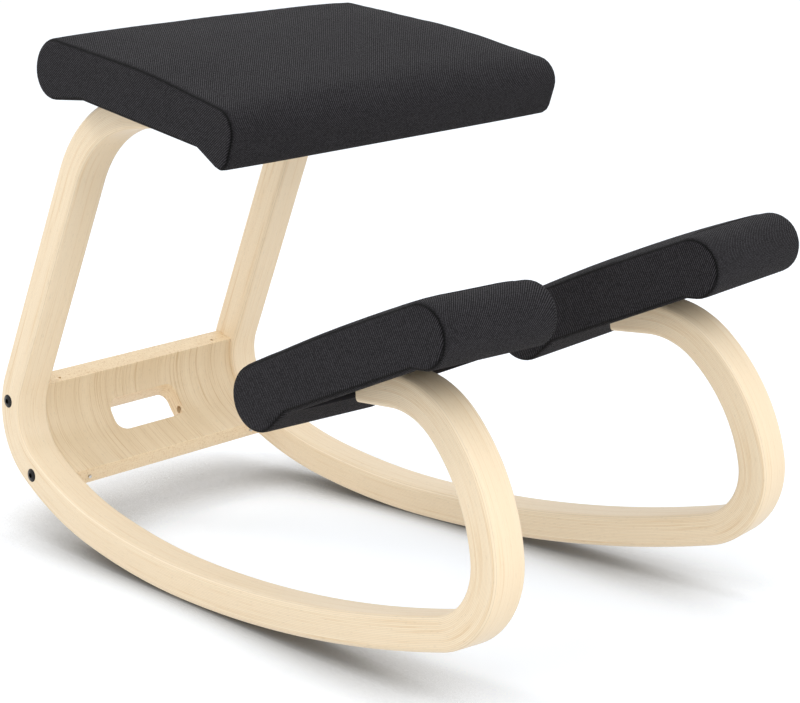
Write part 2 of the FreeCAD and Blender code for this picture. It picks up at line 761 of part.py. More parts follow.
def make_board(prefix, place):
    """A bored board: prefix is seat or pad. Its underside is the plane of the assembly."""
    label, here, spots = place
    body = doc.addObject("PartDesign::Body", label + "_board_blank")
    body.Placement = here
    across = size(prefix + "_width") - 2 * size(prefix + "_board_margin")
    across_expression = "Sizes.%s_width - 2 * Sizes.%s_board_margin" % (prefix, prefix)
    rear = size(prefix + "_board_rear")
    front = size(prefix + "_board_front")
    outline = add_rounded_rectangle(
        body, label + "_board_outline", "XY_Plane", (across, across_expression),
        (rear + front, "Sizes.%s_board_rear + Sizes.%s_board_front" % (prefix, prefix)),
        ((rear - front) / 2, "(Sizes.%s_board_rear - Sizes.%s_board_front) / 2" % (prefix, prefix)),
        (size(prefix + "_board_thick") / 2, "Sizes.%s_board_thick / 2" % prefix))
    doc.recompute()
    pad = body.newObject("PartDesign::Pad", label + "_board_pad")
    pad.Profile = outline
    pad.setExpression("Length", "Sizes.%s_board_thick" % prefix)
    doc.recompute()
    holes = [add_cylinder(label + "_board_hole", "Sizes.t_nut_barrel / 2", "Sizes.%s_board_thick" % prefix,
                          at(here, spot.x, spot.y, 0)) for spot in spots]
    return finish(cut(label + "_board_bored", body, holes), label + "_board")


def make_fasteners(prefix, place):
    """T-nuts set in the board from above and bolts from below through the frames."""
    label, here, spots = place
    thick = "Sizes.%s_board_thick" % prefix
    grip = "Sizes.%s_bolt_grip" % prefix
    nuts = []
    bolts = []
    for number, spot in enumerate(spots):
        name = "%s_%d" % (label, number)
        flange = add_cylinder(name + "_flange", "Sizes.t_nut_flange / 2", "Sizes.t_nut_flange_thick",
                              at(here, spot.x, spot.y, size(prefix + "_board_thick")))
        barrel = add_cylinder(name + "_barrel", "Sizes.t_nut_barrel / 2", thick + " - Sizes.t_nut_end_gap",
                              at(here, spot.x, spot.y, size("t_nut_end_gap")))
        bore = add_cylinder(name + "_thread", "(Sizes.bolt_shank + Sizes.hole_clearance) / 2", thick + " * 2",
                            at(here, spot.x, spot.y, 0))
        nuts.append(cut(name + "_nut", fuse(name + "_nut_blank", [flange, barrel]), [bore]))
        head = add_cylinder(name + "_head", "Sizes.bolt_head_dia / 2", "Sizes.bolt_head_thick",
                            at(here, spot.x, spot.y, -size(prefix + "_bolt_grip") - size("bolt_head_thick")))
        shank = add_cylinder(name + "_shank", "Sizes.bolt_shank / 2", "%s + %s" % (grip, thick),
                             at(here, spot.x, spot.y, -size(prefix + "_bolt_grip")))
        socket = doc.addObject("Part::Prism", name + "_socket")
        bind(socket, Circumradius="Sizes.bolt_socket / sqrt(3)", Height="Sizes.bolt_socket_depth")
        socket.Polygon = 6
        socket.Placement = at(here, spot.x, spot.y, -size(prefix + "_bolt_grip") - size("bolt_head_thick"))
        bolts.append(cut(name + "_bolt", fuse(name + "_bolt_blank", [head, shank]), [socket]))
    finish(group(label + "_nut_group", nuts), label + "_t_nuts")
    finish(group(label + "_bolt_group", bolts), label + "_bolts")


def make_cushion(prefix, outline, place, taper=0.0):
    """Foam, the sewn cover wrapped around it and its two flat side panels."""
    label, here, spots = place
    half = size(prefix + "_width") / 2 - size("cover_thick")
    crown = size(prefix + "_crown")
    outer = cushion_loft(outline, half, taper, crown, 0)
    inner = cushion_loft(outline, half, taper, crown, size("cover_thick"))
    drop = 2 * size(prefix + "_side_drop")
    board_half = size(prefix + "_width") / 2 - size(prefix + "_board_margin")
    length = size(prefix + "_board_rear") + size(prefix + "_board_front")
    recess = Part.makeBox(2 * board_half, length, drop + size(prefix + "_board_thick"),
                          V(-board_half, -size(prefix + "_board_front"), -drop))
    flanges = [Part.makeCylinder(size("t_nut_flange") / 2, size("t_nut_flange_thick"),
                                 V(spot.x, spot.y, size(prefix + "_board_thick"))) for spot in spots]
    slab = end_slab(half, taper, outer.BoundBox)
    foam = inner.common(slab).cut(recess)
    for flange in flanges:
        foam = foam.cut(flange)
    finish(add_shape(label + "_foam_shape", foam.removeSplitter(), here), label + "_foam")
    wrap = outer.cut(inner).common(slab).cut(recess)
    finish(add_shape(label + "_wrap_shape", wrap, here), label + "_cover_wrap")
    for side, word in SIDES:
        face = Part.Face(belt(outline(0), side, half, taper, 0))
        panel = face.extrude(V(side, taper, 0).normalize() * size("cover_thick"))
        finish(add_shape("%s_%s_shape" % (label, word), panel, here), "%s_cover_%s_side" % (label, word))


def make_tab(taper):
    """A plain woven tab caught in the seam of the seat's right side panel."""
    rear = size("seat_rear") - size("tab_from_rear")
    # The outer surface of the side panel lies a cover's thickness outside the end plane
    skew = math.hypot(1, taper)
    half = size("seat_width") / 2 - size("cover_thick") * (1 - skew)
    spot = at(seat_place(), taper * rear - half, rear, size("seat_rise") - size("tab_below_top"),
              turned(Z_AXIS, -size("seat_taper")))
    tab = add_box("tab", "Sizes.tab_thick", "Sizes.tab_length", "Sizes.tab_height",
                  at(spot, -size("tab_thick"), -size("tab_length"), 0))
    return finish(tab, "seat_seam_tab")


for side, word in SIDES:
    make_side_frame(side, word)
make_cross_panel()
for side, word in SIDES:
    make_panel_fasteners(side, word)

seat = ("seat", seat_place(), seat_bolt_points(RIGHT) + seat_bolt_points(LEFT))
seat_taper = math.tan(math.radians(size("seat_taper")))
make_board("seat", seat)
make_fasteners("seat", seat)
make_cushion("seat", seat_outline, seat, seat_taper)
make_tab(seat_taper)

for side, word in SIDES:
    pad = (word + "_knee_pad", pad_place(side), pad_bolt_points(side))
    make_board("pad", pad)
    make_fasteners("pad", pad)
    make_cushion("pad", pad_outline, pad)

doc.recompute()

# Check every object before writing any file
for item in doc.Objects:
    for word in ("Invalid", "Error"):
        if word in item.State:
            raise RuntimeError("%s is %s" % (item.Label, word))
for item in parts:
    if item.Shape.isNull() or not item.Shape.isValid():
        raise RuntimeError("%s has no valid shape" % item.Label)

os.makedirs("parts", exist_ok=True)
for item in parts:
    item.Shape.exportStep(os.path.join("parts", item.Label + ".step"))
print("parts", len(parts))
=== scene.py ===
"""Rocking kneeling chair: laminated frames, cross panel, upholstery and studio."""

import math

import bmesh
import bpy
from bpy.props import FloatProperty, FloatVectorProperty, PointerProperty
from mathutils import Matrix, Vector, kdtree, noise

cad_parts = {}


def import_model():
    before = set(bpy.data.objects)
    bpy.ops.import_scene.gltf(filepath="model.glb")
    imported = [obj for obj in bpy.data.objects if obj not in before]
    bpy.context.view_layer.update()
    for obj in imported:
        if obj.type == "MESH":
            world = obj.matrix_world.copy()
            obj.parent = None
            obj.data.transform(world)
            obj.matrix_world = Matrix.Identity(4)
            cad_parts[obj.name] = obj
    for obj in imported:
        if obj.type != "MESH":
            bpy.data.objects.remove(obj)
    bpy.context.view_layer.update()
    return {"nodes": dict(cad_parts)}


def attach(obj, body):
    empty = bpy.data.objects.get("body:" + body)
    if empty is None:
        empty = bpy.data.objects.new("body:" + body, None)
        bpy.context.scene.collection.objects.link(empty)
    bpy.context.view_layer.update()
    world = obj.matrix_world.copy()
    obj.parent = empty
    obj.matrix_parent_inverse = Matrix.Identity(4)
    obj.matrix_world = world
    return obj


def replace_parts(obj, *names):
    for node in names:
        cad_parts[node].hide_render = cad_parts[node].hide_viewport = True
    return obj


bl_info = {
    "name": "Rocking Kneeling Chair",
    "version": (1, 0, 0),
    "blender": (4, 5, 0),
    "location": "View3D > Sidebar > Kneeling Chair",
    "description": "Dresses the rocking kneeling chair: bent wood, upholstery, fittings and stage",
    "category": "Object",
}

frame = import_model()

MM = 0.001
BODY = "root"
RIGHT = -1
LEFT = 1
SIDES = ((RIGHT, "right"), (LEFT, "left"))

# Laminated band of the side frames
BAND_THICK = 31.7 * MM
BAND_WIDTH = 37.1 * MM
BAND_ROUND = 4.5 * MM
END_ROUND = 3 * MM
END_SHARES = (0.0, 0.05, 0.2, 0.45, 0.75)

# Spacing of the points along a band: length of a step, and most degrees to a step
PATH_STEP = 4 * MM
MOST_DEGREES = 2.5

# The band's run from the floor, forward and rearward: radius or length, and turn.
# Radii are those of the outer surface. A turn of nothing is a straight run.
FRONT_CHAIN = ((1284 * MM, 16.14), (84.5 * MM, 82.67), (183.5 * MM, 40.85), (101.5 * MM, 45.4), (40 * MM, 0))
REAR_CHAIN = ((771 * MM, 11.2), (338 * MM, 20.12), (83.6 * MM, 81.7), (245 * MM, 0), (140.3 * MM, 58),
              (92 * MM, 0))

# How the frames stand
TRACK_HALF = 169.4 * MM
SPLAY = 3.38
LEAN = 2.55
CONTACT_BACK = 59.2 * MM

# Cross panel, inside the back bends of both frames
PANEL_THICK = 20 * MM
PANEL_RECESS = 4 * MM
PANEL_ROUND = 2.5 * MM
PANEL_LOW_REACH = 32 * MM
PANEL_BEND_TURN = 78.7
SLOT_LENGTH = 92 * MM
SLOT_HEIGHT = 35.8 * MM
SLOT_ROUND = 12 * MM
SLOT_ANGLE = 45
SLOT_RISE = 10.8 * MM
DOWEL_ANGLE = 35.8
DOWEL_DIA = 8 * MM
DOWEL_REACH = 32 * MM
PIN_DIA = 3.5 * MM
PIN_INSET = 22 * MM
EDGE_EASE = 0.9 * MM
EASE_SEGMENTS = 3
EASE_ANGLE = 50
LOW_STEPS = 9
BEND_STEPS = 40
CORNER_STEPS = 8

# Panel bolts with their domed heads
BOLT_ANGLES = {"upper": -4.5, "lower": 66.5}
BOLT_DEPTH = 14 * MM
CAP_DIA = 13.4 * MM
CAP_SINK = 2.2 * MM
CAP_RISE = 1.6 * MM
CAP_SOCKET = 5 * MM
CAP_SIDES = 48
CAP_EDGE = (0.35 * MM, 0.12 * MM)
DOME_SHARES = (0.93, 0.82, 0.68, 0.54, 0.44)
SOCKET_LIP = 0.06 * MM
SOCKET_DEPTH = 2.4 * MM
HOLE_CLEARANCE = 0.2 * MM

# Seat and knee pads, each in a frame on the underside of its board
SEAT_HEIGHT = 463 * MM
SEAT_SLOPE = 6.92
KNEE_TIP = (239 * MM, 256.5 * MM)
KNEE_SLOPE = 24.2
PAD_TOE = 1.83
PAD_LEAN = 1.45
PAD_OUTSET = 2.9 * MM

# Bolts into the boards: the first one's place, the pitch, and the wood between board and head
BOARD_BOLTS = {"seat": (12 * MM, 42 * MM, 9 * MM), "pad": (14 * MM, 25 * MM, 7 * MM)}
BOLT_HEAD_DIA = 11 * MM
COVER_LAP = 3 * MM
BOARD_SINK = 1 * MM

# Room that the seat and a knee pad take out of the bands, from the underside of the board up
SEAT_CUT_REACH = 300 * MM
KNEE_CUT = ((-66 * MM, -198 * MM, 0), (66 * MM, 66 * MM, 132 * MM))


class Cushion:
    """Sizes of one upholstered form; its outline is a belt around circles."""

    def __init__(self, width, taper, crown, board, drop, circles):
        self.half = width / 2
        self.taper = math.tan(math.radians(taper))
        self.crown = crown
        self.board_half, self.board_front, self.board_rear = board
        self.drop = drop
        self.circles = circles

    def outline(self, crown):
        front, rear = -self.board_front - COVER_LAP, self.board_rear + COVER_LAP
        return ((front, -self.drop, 0), (rear, -self.drop, 0)) + self.circles(crown)


def seat_circles(crown):
    rear = 180.5 * MM + crown / 4
    front = -117 * MM - crown / 4
    back_round = 32 * MM + crown / 3
    back_lip = 25 * MM
    back_height = back_lip - 15.5 * MM
    top_middle, top_height, top_radius = 31.75 * MM, 43.5 * MM + crown, 900 * MM
    nose = 21.5 * MM + crown / 3
    nose_height = 15.5 * MM + crown / 3
    lip, lip_inset, lip_low = 12 * MM, 4 * MM, 17 * MM
    return ((rear - back_lip, back_height, back_lip),
            (rear - back_round, back_height, back_round),
            (top_middle, top_height - top_radius, top_radius),
            (front + nose, nose_height, nose),
            (front + lip + lip_inset, lip - lip_low, lip))


def pad_circles(crown):
    rear = 98.4 * MM + crown / 5
    front = -177.6 * MM - crown / 5
    rear_round, rear_low = 28.8 * MM + crown / 4, 13 * MM
    top_middle, top_height, top_radius = -39.6 * MM, 46.8 * MM + crown, 2500 * MM
    front_round, front_low = 27 * MM + crown / 4, 8.7 * MM
    return ((rear - rear_round, rear_round - rear_low, rear_round),
            (top_middle, top_height - top_radius, top_radius),
            (front + front_round, front_round - front_low, front_round))


SEAT = Cushion(414.6 * MM, 4.15, 6 * MM, (186.3 * MM, 64 * MM, 104 * MM), 4 * MM, seat_circles)
KNEE_PAD = Cushion(132 * MM, 0, 3.4 * MM, (54 * MM, 128 * MM, 33 * MM), 2.5 * MM, pad_circles)

# Distances from a seam of the first rows of points, on the wrap and on a side panel
SEAM_ROWS = [0.5 * MM, 1.1 * MM, 1.9 * MM, 3 * MM, 4.5 * MM, 6.5 * MM]
WRAP_ROWS = [0.0] + SEAM_ROWS + [9.5 * MM, 14 * MM]
PANEL_ROWS = SEAM_ROWS + [9 * MM]
SAME_SPOT = 0.01 * MM

# How the cover fills: how fast the crown falls to a seam, and the side panel's middle in side swells
CROWN_POWER = 5.5
SIDE_FULL = 1.5

# Painted shade beside a seam, where the cloth dips into the seam's groove: its most, its width and how fast
# it fades
SEAM_PAINTED_SHADE = 0.95
SEAM_PAINTED_SHADE_WIDTH = 1.9 * MM
SEAM_PAINTED_SHADE_POWER = 1.2

# How far a seam holds the cloth, how long the cover is filled, and how its movement is carried over
PULL_REACH = 9 * MM
HELD_BELOW = 4 * MM
CLOTH_FRAMES = 20
NEIGHBOURS = 6
BLUR = 1 * MM

# Slight waves of the cloth: cycles to the metre, and shares of the set height
BROAD_WAVES = 14.0
FINE_WAVES = Vector((20, 75, 75))
BROAD_SHARE = 0.6
FINE_SHARE = 0.9
PUCKER_START = 1.2 * MM
SMOOTH_BELOW = 1 * MM


# Places

def section_lift():
    lean = math.radians(LEAN)
    return (BAND_WIDTH / 2 - BAND_ROUND) * math.sin(lean) + BAND_ROUND * (1 - math.cos(lean))


def turn(degrees, axis):
    return Matrix.Rotation(math.radians(degrees), 4, axis)


def frame_place(side):
    stand = Matrix.Translation((side * TRACK_HALF, CONTACT_BACK, section_lift()))
    return stand @ turn(side * SPLAY, "Z") @ turn(-side * LEAN, "Y")


def seat_place():
    return Matrix.Translation((0, CONTACT_BACK, SEAT_HEIGHT)) @ turn(SEAT_SLOPE, "X")


def pad_place(side):
    tip = frame_place(side) @ Vector((side * PAD_OUTSET, -KNEE_TIP[0], KNEE_TIP[1]))
    stand = Matrix.Translation(tip) @ turn(side * PAD_TOE, "Z") @ turn(-side * PAD_LEAN, "Y")
    return stand @ turn(-KNEE_SLOPE, "X")


def panel_place():
    return Matrix.Translation((0, CONTACT_BACK, section_lift()))


# The run of a laminated band, in its own plane (y, z)

def ahead_of(heading):
    return Vector((math.cos(heading), math.sin(heading)))


def left_of(heading):
    return Vector((-math.sin(heading), math.cos(heading)))


def walk(chain, sense):
    """Yield each stretch of a chain: start, heading, centre or None, outer radius or length, turn.

    sense is 1 for the rearward chain, which turns left, and -1 for the forward one.
    """
    point = Vector((0, 0))
    heading = 0.0 if sense > 0 else math.pi
    for size, degrees in chain:
        if degrees:
            bend = math.radians(degrees)
            centre = point + left_of(heading) * sense * size
            yield point, heading, centre, size, bend
            heading += sense * bend
            point = centre - left_of(heading) * (sense * size)
        else:
            yield point, heading, None, size, 0.0
            point = point + ahead_of(heading) * size


def sample(chain, sense, depth):
    """Points of a chain at a depth below the outer surface, from its start."""
    points = []
    for point, heading, centre, size, bend in walk(chain, sense):
        inward = left_of(heading) * sense
        if centre is None:
            count = max(1, round(size / PATH_STEP))
            ahead = ahead_of(heading)
            points += [point + inward * depth + ahead * (size * i / count) for i in range(count)]
            last = point + inward * depth + ahead * size
        else:
            radius = size - depth
            count = max(4, round(radius * bend / PATH_STEP), round(math.degrees(bend) / MOST_DEGREES))
            spin = [sense * bend * i / count for i in range(count + 1)]
            run = [centre + Matrix.Rotation(a, 2) @ (-inward * radius) for a in spin]
            points += run[:-1]
            last = run[-1]
    return points + [last]


def along_and_depth(point, chains):
    """Where a point of the band's plane lies: distance along the outer surface, and depth below it."""
    best = (math.inf, 0.0, 0.0)
    for chain, sense in chains:
        travelled = 0.0
        for start, heading, centre, size, bend in walk(chain, sense):
            inward = left_of(heading) * sense
            if centre is None:
                ahead = ahead_of(heading)
                run = (point - start).dot(ahead)
                depth = (point - start).dot(inward)
                miss = max(-run, run - size, 0.0)
                length = size
            else:
                arm = point - centre
                angle = -sense * (-inward).angle_signed(arm, 0.0)
                depth = size - arm.length
                run = angle * size
                miss = max(-angle, angle - bend, 0.0) * size
                length = bend * size
            miss += max(-depth, depth - BAND_THICK, 0.0)
            if miss < best[0]:
                best = (miss, sense * (travelled + run), depth)
            travelled += length
    return best[1], best[2]


# Nodes and materials

def add(tree, kind, inputs=None, **settings):
    """A node with its settings, and its inputs set or linked by name or number."""
    item = tree.nodes.new(kind)
    for name, value in settings.items():
        setattr(item, name, value)
    for key, value in (inputs or {}).items():
        if isinstance(value, bpy.types.NodeSocket):
            tree.links.new(value, item.inputs[key])
        else:
            item.inputs[key].default_value = value
    return item


def maths(tree, operation, *values):
    return add(tree, "ShaderNodeMath", dict(enumerate(values)), operation=operation).outputs[0]


def times(tree, first, *others):
    for other in others:
        first = maths(tree, "MULTIPLY", first, other)
    return first


def plus(tree, first, second):
    return maths(tree, "ADD", first, second)


def minus(tree, first, second):
    return maths(tree, "SUBTRACT", first, second)


def blend_colours(tree, factor, first, second, how="MIX"):
    inputs = {0: factor, 6: first, 7: second}
    return add(tree, "ShaderNodeMix", inputs, data_type="RGBA", blend_type=how).outputs[2]


def ramp(tree, value, low, high):
    inputs = {"Value": value, "From Min": low, "From Max": high}
    return add(tree, "ShaderNodeMapRange", inputs, interpolation_type="SMOOTHSTEP").outputs["Result"]


def combine(tree, x, y, z):
    return add(tree, "ShaderNodeCombineXYZ", {0: x, 1: y, 2: z}).outputs[0]


def darkened(tree, colour, value):
    return blend_colours(tree, 1.0, colour, combine(tree, value, value, value), "MULTIPLY")


def stretched_noise(tree, vector, scales, detail, roughness):
    """Noise over three values, each with its own cycles to the metre, or as it is for None."""
    parts = [part if scale is None else times(tree, part, scale) for part, scale in zip(vector, scales)]
    inputs = {"Vector": combine(tree, *parts), "Scale": 1.0, "Detail": detail, "Roughness": roughness}
    return add(tree, "ShaderNodeTexNoise", inputs).outputs[0]


FLOAT, COLOUR, VECTOR = "NodeSocketFloat", "NodeSocketColor", "NodeSocketVector"
RESULTS = {"Color": COLOUR, "Roughness": FLOAT, "Height": FLOAT}


def group_of(name, inputs, fill):
    """The shader node group of that name, built once.

    inputs holds a socket type, or the default of a float socket, for each label. fill
    makes the nodes from the tree and the input sockets, and returns the three results.
    """
    tree = bpy.data.node_groups.get(name)
    if tree:
        return tree
    tree = bpy.data.node_groups.new(name, "ShaderNodeTree")
    for label, kind in inputs.items():
        if isinstance(kind, float):
            tree.interface.new_socket(label, in_out="INPUT", socket_type=FLOAT).default_value = kind
        else:
            tree.interface.new_socket(label, in_out="INPUT", socket_type=kind)
    for label, kind in RESULTS.items():
        tree.interface.new_socket(label, in_out="OUTPUT", socket_type=kind)
    given = tree.nodes.new("NodeGroupInput")
    result = tree.nodes.new("NodeGroupOutput")
    for label, value in zip(RESULTS, fill(tree, given.outputs)):
        tree.links.new(value, result.inputs[label])
    return tree


def wood_nodes(tree, given):
    """Laminated wood: plies by depth, long grain along the band, small flecks."""
    along, depth, across = add(tree, "ShaderNodeSeparateXYZ", {0: given["Grain"]}).outputs
    plies = plus(tree, maths(tree, "DIVIDE", depth, given["Ply Thickness"]), 0.5)
    ply = maths(tree, "FLOOR", plies)
    in_ply = minus(tree, maths(tree, "FRACT", plies), 0.5)
    glue = ramp(tree, maths(tree, "ABSOLUTE", in_ply), 0.36, 0.5)
    tone = add(tree, "ShaderNodeTexWhiteNoise", {"W": ply}, noise_dimensions="1D").outputs["Value"]
    seed = times(tree, ply, 3.1)
    fibre = stretched_noise(tree, (along, across, seed), (7.0, 640.0, None), detail=3.0, roughness=0.62)
    cloud = stretched_noise(tree, (along, across, seed), (4.0, 70.0, None), detail=2.0, roughness=0.5)
    fleck = stretched_noise(tree, (along, across, depth), (150.0, 1500.0, 1500.0), detail=1.0, roughness=0.5)
    streak = ramp(tree, fibre, 0.5, 0.72)
    figure = times(tree, given["Figure"], plus(tree, times(tree, streak, 0.55), times(tree, cloud, 0.5)))
    shade = plus(tree, figure, times(tree, tone, 0.12, given["Ply Contrast"]))
    line = times(tree, glue, 0.22, given["Ply Contrast"])
    dust = times(tree, ramp(tree, fleck, 0.6, 0.8), 0.14)
    dark = plus(tree, line, dust)
    colour = blend_colours(tree, shade, given["Pale"], given["Dark"])
    rough = plus(tree, 0.42, times(tree, fibre, 0.14))
    return darkened(tree, colour, minus(tree, 1.0, dark)), rough, minus(tree, times(tree, fibre, 0.5), dark)


def wood_group():
    inputs = {"Grain": VECTOR, "Ply Thickness": 1.5 * MM, "Pale": COLOUR, "Dark": COLOUR, "Figure": 1.0,
              "Ply Contrast": 1.0}
    return group_of("Laminated wood", inputs, wood_nodes)


def twill_nodes(tree, given):
    """Two-and-two twill from a map in metres: dark warp, lighter weft, painted shade where each thread
    curves down between its neighbours, and painted shade darker towards a seam.
    """
    place_across, place_down, _ = add(tree, "ShaderNodeSeparateXYZ", {0: given["Map"]}).outputs
    across = maths(tree, "DIVIDE", place_across, given["Thread"])
    down = maths(tree, "DIVIDE", place_down, given["Thread"])
    weft_cell = maths(tree, "FLOOR", down)
    place = maths(tree, "DIVIDE", minus(tree, maths(tree, "FLOOR", across), weft_cell), 4.0)
    phase = minus(tree, place, maths(tree, "FLOOR", place))
    over = maths(tree, "LESS_THAN", phase, 0.45)
    warp_round, weft_round = (maths(tree, "ABSOLUTE", maths(tree, "SINE", times(tree, value, math.pi)))
                              for value in (across, down))
    height = add(tree, "ShaderNodeMix", {0: over, 2: warp_round, 3: weft_round}).outputs[0]
    pair = combine(tree, maths(tree, "FLOOR", times(tree, across, 0.5)), weft_cell, 0.0)
    spun = add(tree, "ShaderNodeTexWhiteNoise", {"Vector": pair}, noise_dimensions="2D").outputs["Value"]
    soft = stretched_noise(tree, (place_across, place_down, 0.0), (28.0, 28.0, None), detail=3.0,
                           roughness=0.55)
    light = times(tree, over, plus(tree, 0.45, times(tree, spun, 0.75)))
    # Painted shade: the colour darkens where a thread curves down between its neighbours and beside a seam;
    # the soft noise is a random tone of the cloth
    shade = times(tree, plus(tree, 0.4, times(tree, height, 0.6)), plus(tree, 0.86, times(tree, soft, 0.28)),
                  minus(tree, 1.0, given["Seam"]))
    colour = darkened(tree, blend_colours(tree, light, given["Warp"], given["Weft"]), shade)
    return colour, minus(tree, 0.95, times(tree, spun, 0.12)), height


def twill_group():
    inputs = {"Map": VECTOR, "Thread": 0.5 * MM, "Warp": COLOUR, "Weft": COLOUR, "Seam": 0.0}
    return group_of("Twill weave", inputs, twill_nodes)


def mottled_nodes(tree, given):
    """Fine mottling from Object coordinates, for the fittings, boards, dowels and tab."""
    inputs = {"Vector": given["Position"], "Scale": given["Grain Scale"], "Detail": 4.0}
    grain = add(tree, "ShaderNodeTexNoise", inputs).outputs[0]
    mask = ramp(tree, grain, 0.3, 0.7)
    rough = add(tree, "ShaderNodeMix", {0: mask, 2: given["Smooth"], 3: given["Rough"]}).outputs[0]
    return blend_colours(tree, mask, given["Low"], given["High"]), rough, grain


def mottled_group():
    inputs = {"Position": VECTOR, "Grain Scale": 400.0, "Low": COLOUR, "High": COLOUR, "Smooth": 0.3,
              "Rough": 0.5}
    return group_of("Mottled finish", inputs, mottled_nodes)


def shaded(name, group, inputs, bump, **shader):
    """A material: one group feeds the shader's colour, roughness and bump."""
    material = bpy.data.materials.get(name)
    if material:
        return material
    material = bpy.data.materials.new(name)
    material.use_nodes = True
    tree = material.node_tree
    bsdf = tree.nodes["Principled BSDF"]
    for key, value in shader.items():
        bsdf.inputs[key.replace("_", " ")].default_value = value
    values = {key: value(tree) if callable(value) else value for key, value in inputs.items()}
    finish = add(tree, "ShaderNodeGroup", values, node_tree=group)
    tree.links.new(finish.outputs["Color"], bsdf.inputs["Base Color"])
    tree.links.new(finish.outputs["Roughness"], bsdf.inputs["Roughness"])
    relief = add(tree, "ShaderNodeBump",
                 {"Height": finish.outputs["Height"], "Distance": bump, "Strength": 1.0})
    tree.links.new(relief.outputs[0], bsdf.inputs["Normal"])
    return material


def grain_of_piece(tree):
    return add(tree, "ShaderNodeAttribute", attribute_name="grain").outputs["Vector"]


def weave_of_piece(tree):
    return add(tree, "ShaderNodeUVMap", uv_map="weave").outputs["UV"]


# Painted shade along the cover's seams, read from its points
def painted_seam_shade_of_piece(tree):
    return add(tree, "ShaderNodeAttribute", attribute_name="painted_seam_shade").outputs["Fac"]


def place_of_piece(tree):
    return add(tree, "ShaderNodeTexCoord").outputs["Object"]


def opaque(colour):
    return (*colour, 1.0)


def lacquered(name, pale, figure, ply_contrast):
    scene = bpy.context.scene
    inputs = {"Grain": grain_of_piece, "Ply Thickness": scene.chair_sizes.ply, "Pale": opaque(pale),
              "Dark": opaque(scene.chair_colours.wood_grain), "Figure": figure, "Ply Contrast": ply_contrast}
    return shaded(name, wood_group(), inputs, bump=0.05 * MM, Coat_Weight=0.3, Coat_Roughness=0.28)


def frame_wood():
    return lacquered("Lacquered band", bpy.context.scene.chair_colours.wood_pale, figure=0.75,
                     ply_contrast=1.0)


def panel_wood():
    return lacquered("Lacquered panel", bpy.context.scene.chair_colours.panel_pale, figure=1.25,
                     ply_contrast=0.8)


def cover_cloth():
    tones = bpy.context.scene.chair_colours
    sizes = bpy.context.scene.chair_sizes
    inputs = {"Map": weave_of_piece, "Thread": sizes.thread, "Warp": opaque(tones.warp),
              "Weft": opaque(tones.weft), "Seam": painted_seam_shade_of_piece}
    return shaded("Twill cover", twill_group(), inputs, bump=0.25 * MM, Sheen_Weight=0.04,
                  Sheen_Roughness=0.5, Specular_IOR_Level=0.1)


def plain_finish(name, low, high, scale, smooth, rough, bump, **shader):
    inputs = {"Position": place_of_piece, "Grain Scale": scale, "Low": opaque(low), "High": opaque(high),
              "Smooth": smooth, "Rough": rough}
    return shaded(name, mottled_group(), inputs, bump, **shader)


def board_finish():
    return plain_finish("Dark board", (0.012, 0.012, 0.013), (0.02, 0.02, 0.022),
                        scale=320.0, smooth=0.6, rough=0.8, bump=0.1 * MM)


def black_finish():
    return plain_finish("Black head", (0.003, 0.003, 0.003), (0.006, 0.006, 0.006),
                        scale=900.0, smooth=0.1, rough=0.2, bump=0.01 * MM,
                        Specular_IOR_Level=0.25, Coat_Weight=0.15, Coat_Roughness=0.05)


def zinc_finish():
    return plain_finish("Zinc plate", (0.5, 0.51, 0.53), (0.68, 0.69, 0.7),
                        scale=700.0, smooth=0.28, rough=0.45, bump=0.02 * MM, Metallic=1.0)


def tab_finish():
    return plain_finish("Woven tab", (0.015, 0.015, 0.016), (0.05, 0.049, 0.048),
                        scale=1600.0, smooth=0.8, rough=0.95, bump=0.1 * MM)


def dowel_finish():
    return plain_finish("Turned hardwood", (0.55, 0.38, 0.22), (0.66, 0.49, 0.31),
                        scale=260.0, smooth=0.55, rough=0.7, bump=0.05 * MM)


# Mesh helpers

def new_piece(name, mesh, material):
    """An object of the finished mesh that rides on the chair."""
    piece = holder_of(name, mesh)
    mesh.materials.clear()
    mesh.materials.append(material)
    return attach(piece, BODY)


def dress(node, material):
    """Give a frame node that stays its finish."""
    slots = frame["nodes"][node].data.materials
    slots.clear()
    slots.append(material)


def smooth_by_angle(mesh, degrees=32):
    mesh.shade_smooth()
    mesh.set_sharp_from_angle(angle=math.radians(degrees))


def evaluated(holder):
    """The holder's mesh with its modifiers applied; the holder is removed."""
    bpy.context.view_layer.update()
    graph = bpy.context.evaluated_depsgraph_get()
    mesh = bpy.data.meshes.new_from_object(holder.evaluated_get(graph))
    data = holder.data
    bpy.data.objects.remove(holder)
    if isinstance(data, bpy.types.Mesh):
        bpy.data.meshes.remove(data)
    return mesh


def holder_of(name, data):
    """A new object of the data, in the scene."""
    holder = bpy.data.objects.new(name, data)
    bpy.context.scene.collection.objects.link(holder)
    return holder


def mesh_from(bm, name):
    """A new mesh of what was built, which is freed."""
    mesh = bpy.data.meshes.new(name)
    bm.to_mesh(mesh)
    bm.free()
    return mesh


def faces_between(bm, one, two):
    """Four-sided faces that join two closed rings of points."""
    return [bm.faces.new((a, b, d, c)) for a, b, c, d in zip(one, one[1:] + one[:1], two, two[1:] + two[:1])]


def cylinder_into(bm, matrix, radius, length, sides=40):
    """A closed cylinder along the matrix's x axis, from its origin."""
    spin = matrix @ turn(90, "Y") @ Matrix.Translation((0, 0, length / 2))
    bmesh.ops.create_cone(bm, cap_ends=True, segments=sides, radius1=radius, radius2=radius, depth=length,
                          matrix=spin)


def box_into(bm, matrix, low, high):
    centre = (Vector(low) + Vector(high)) / 2
    size = Vector(high) - Vector(low)
    block = matrix @ Matrix.Translation(centre) @ Matrix.Diagonal((*size, 1))
    bmesh.ops.create_cube(bm, size=1, matrix=block)


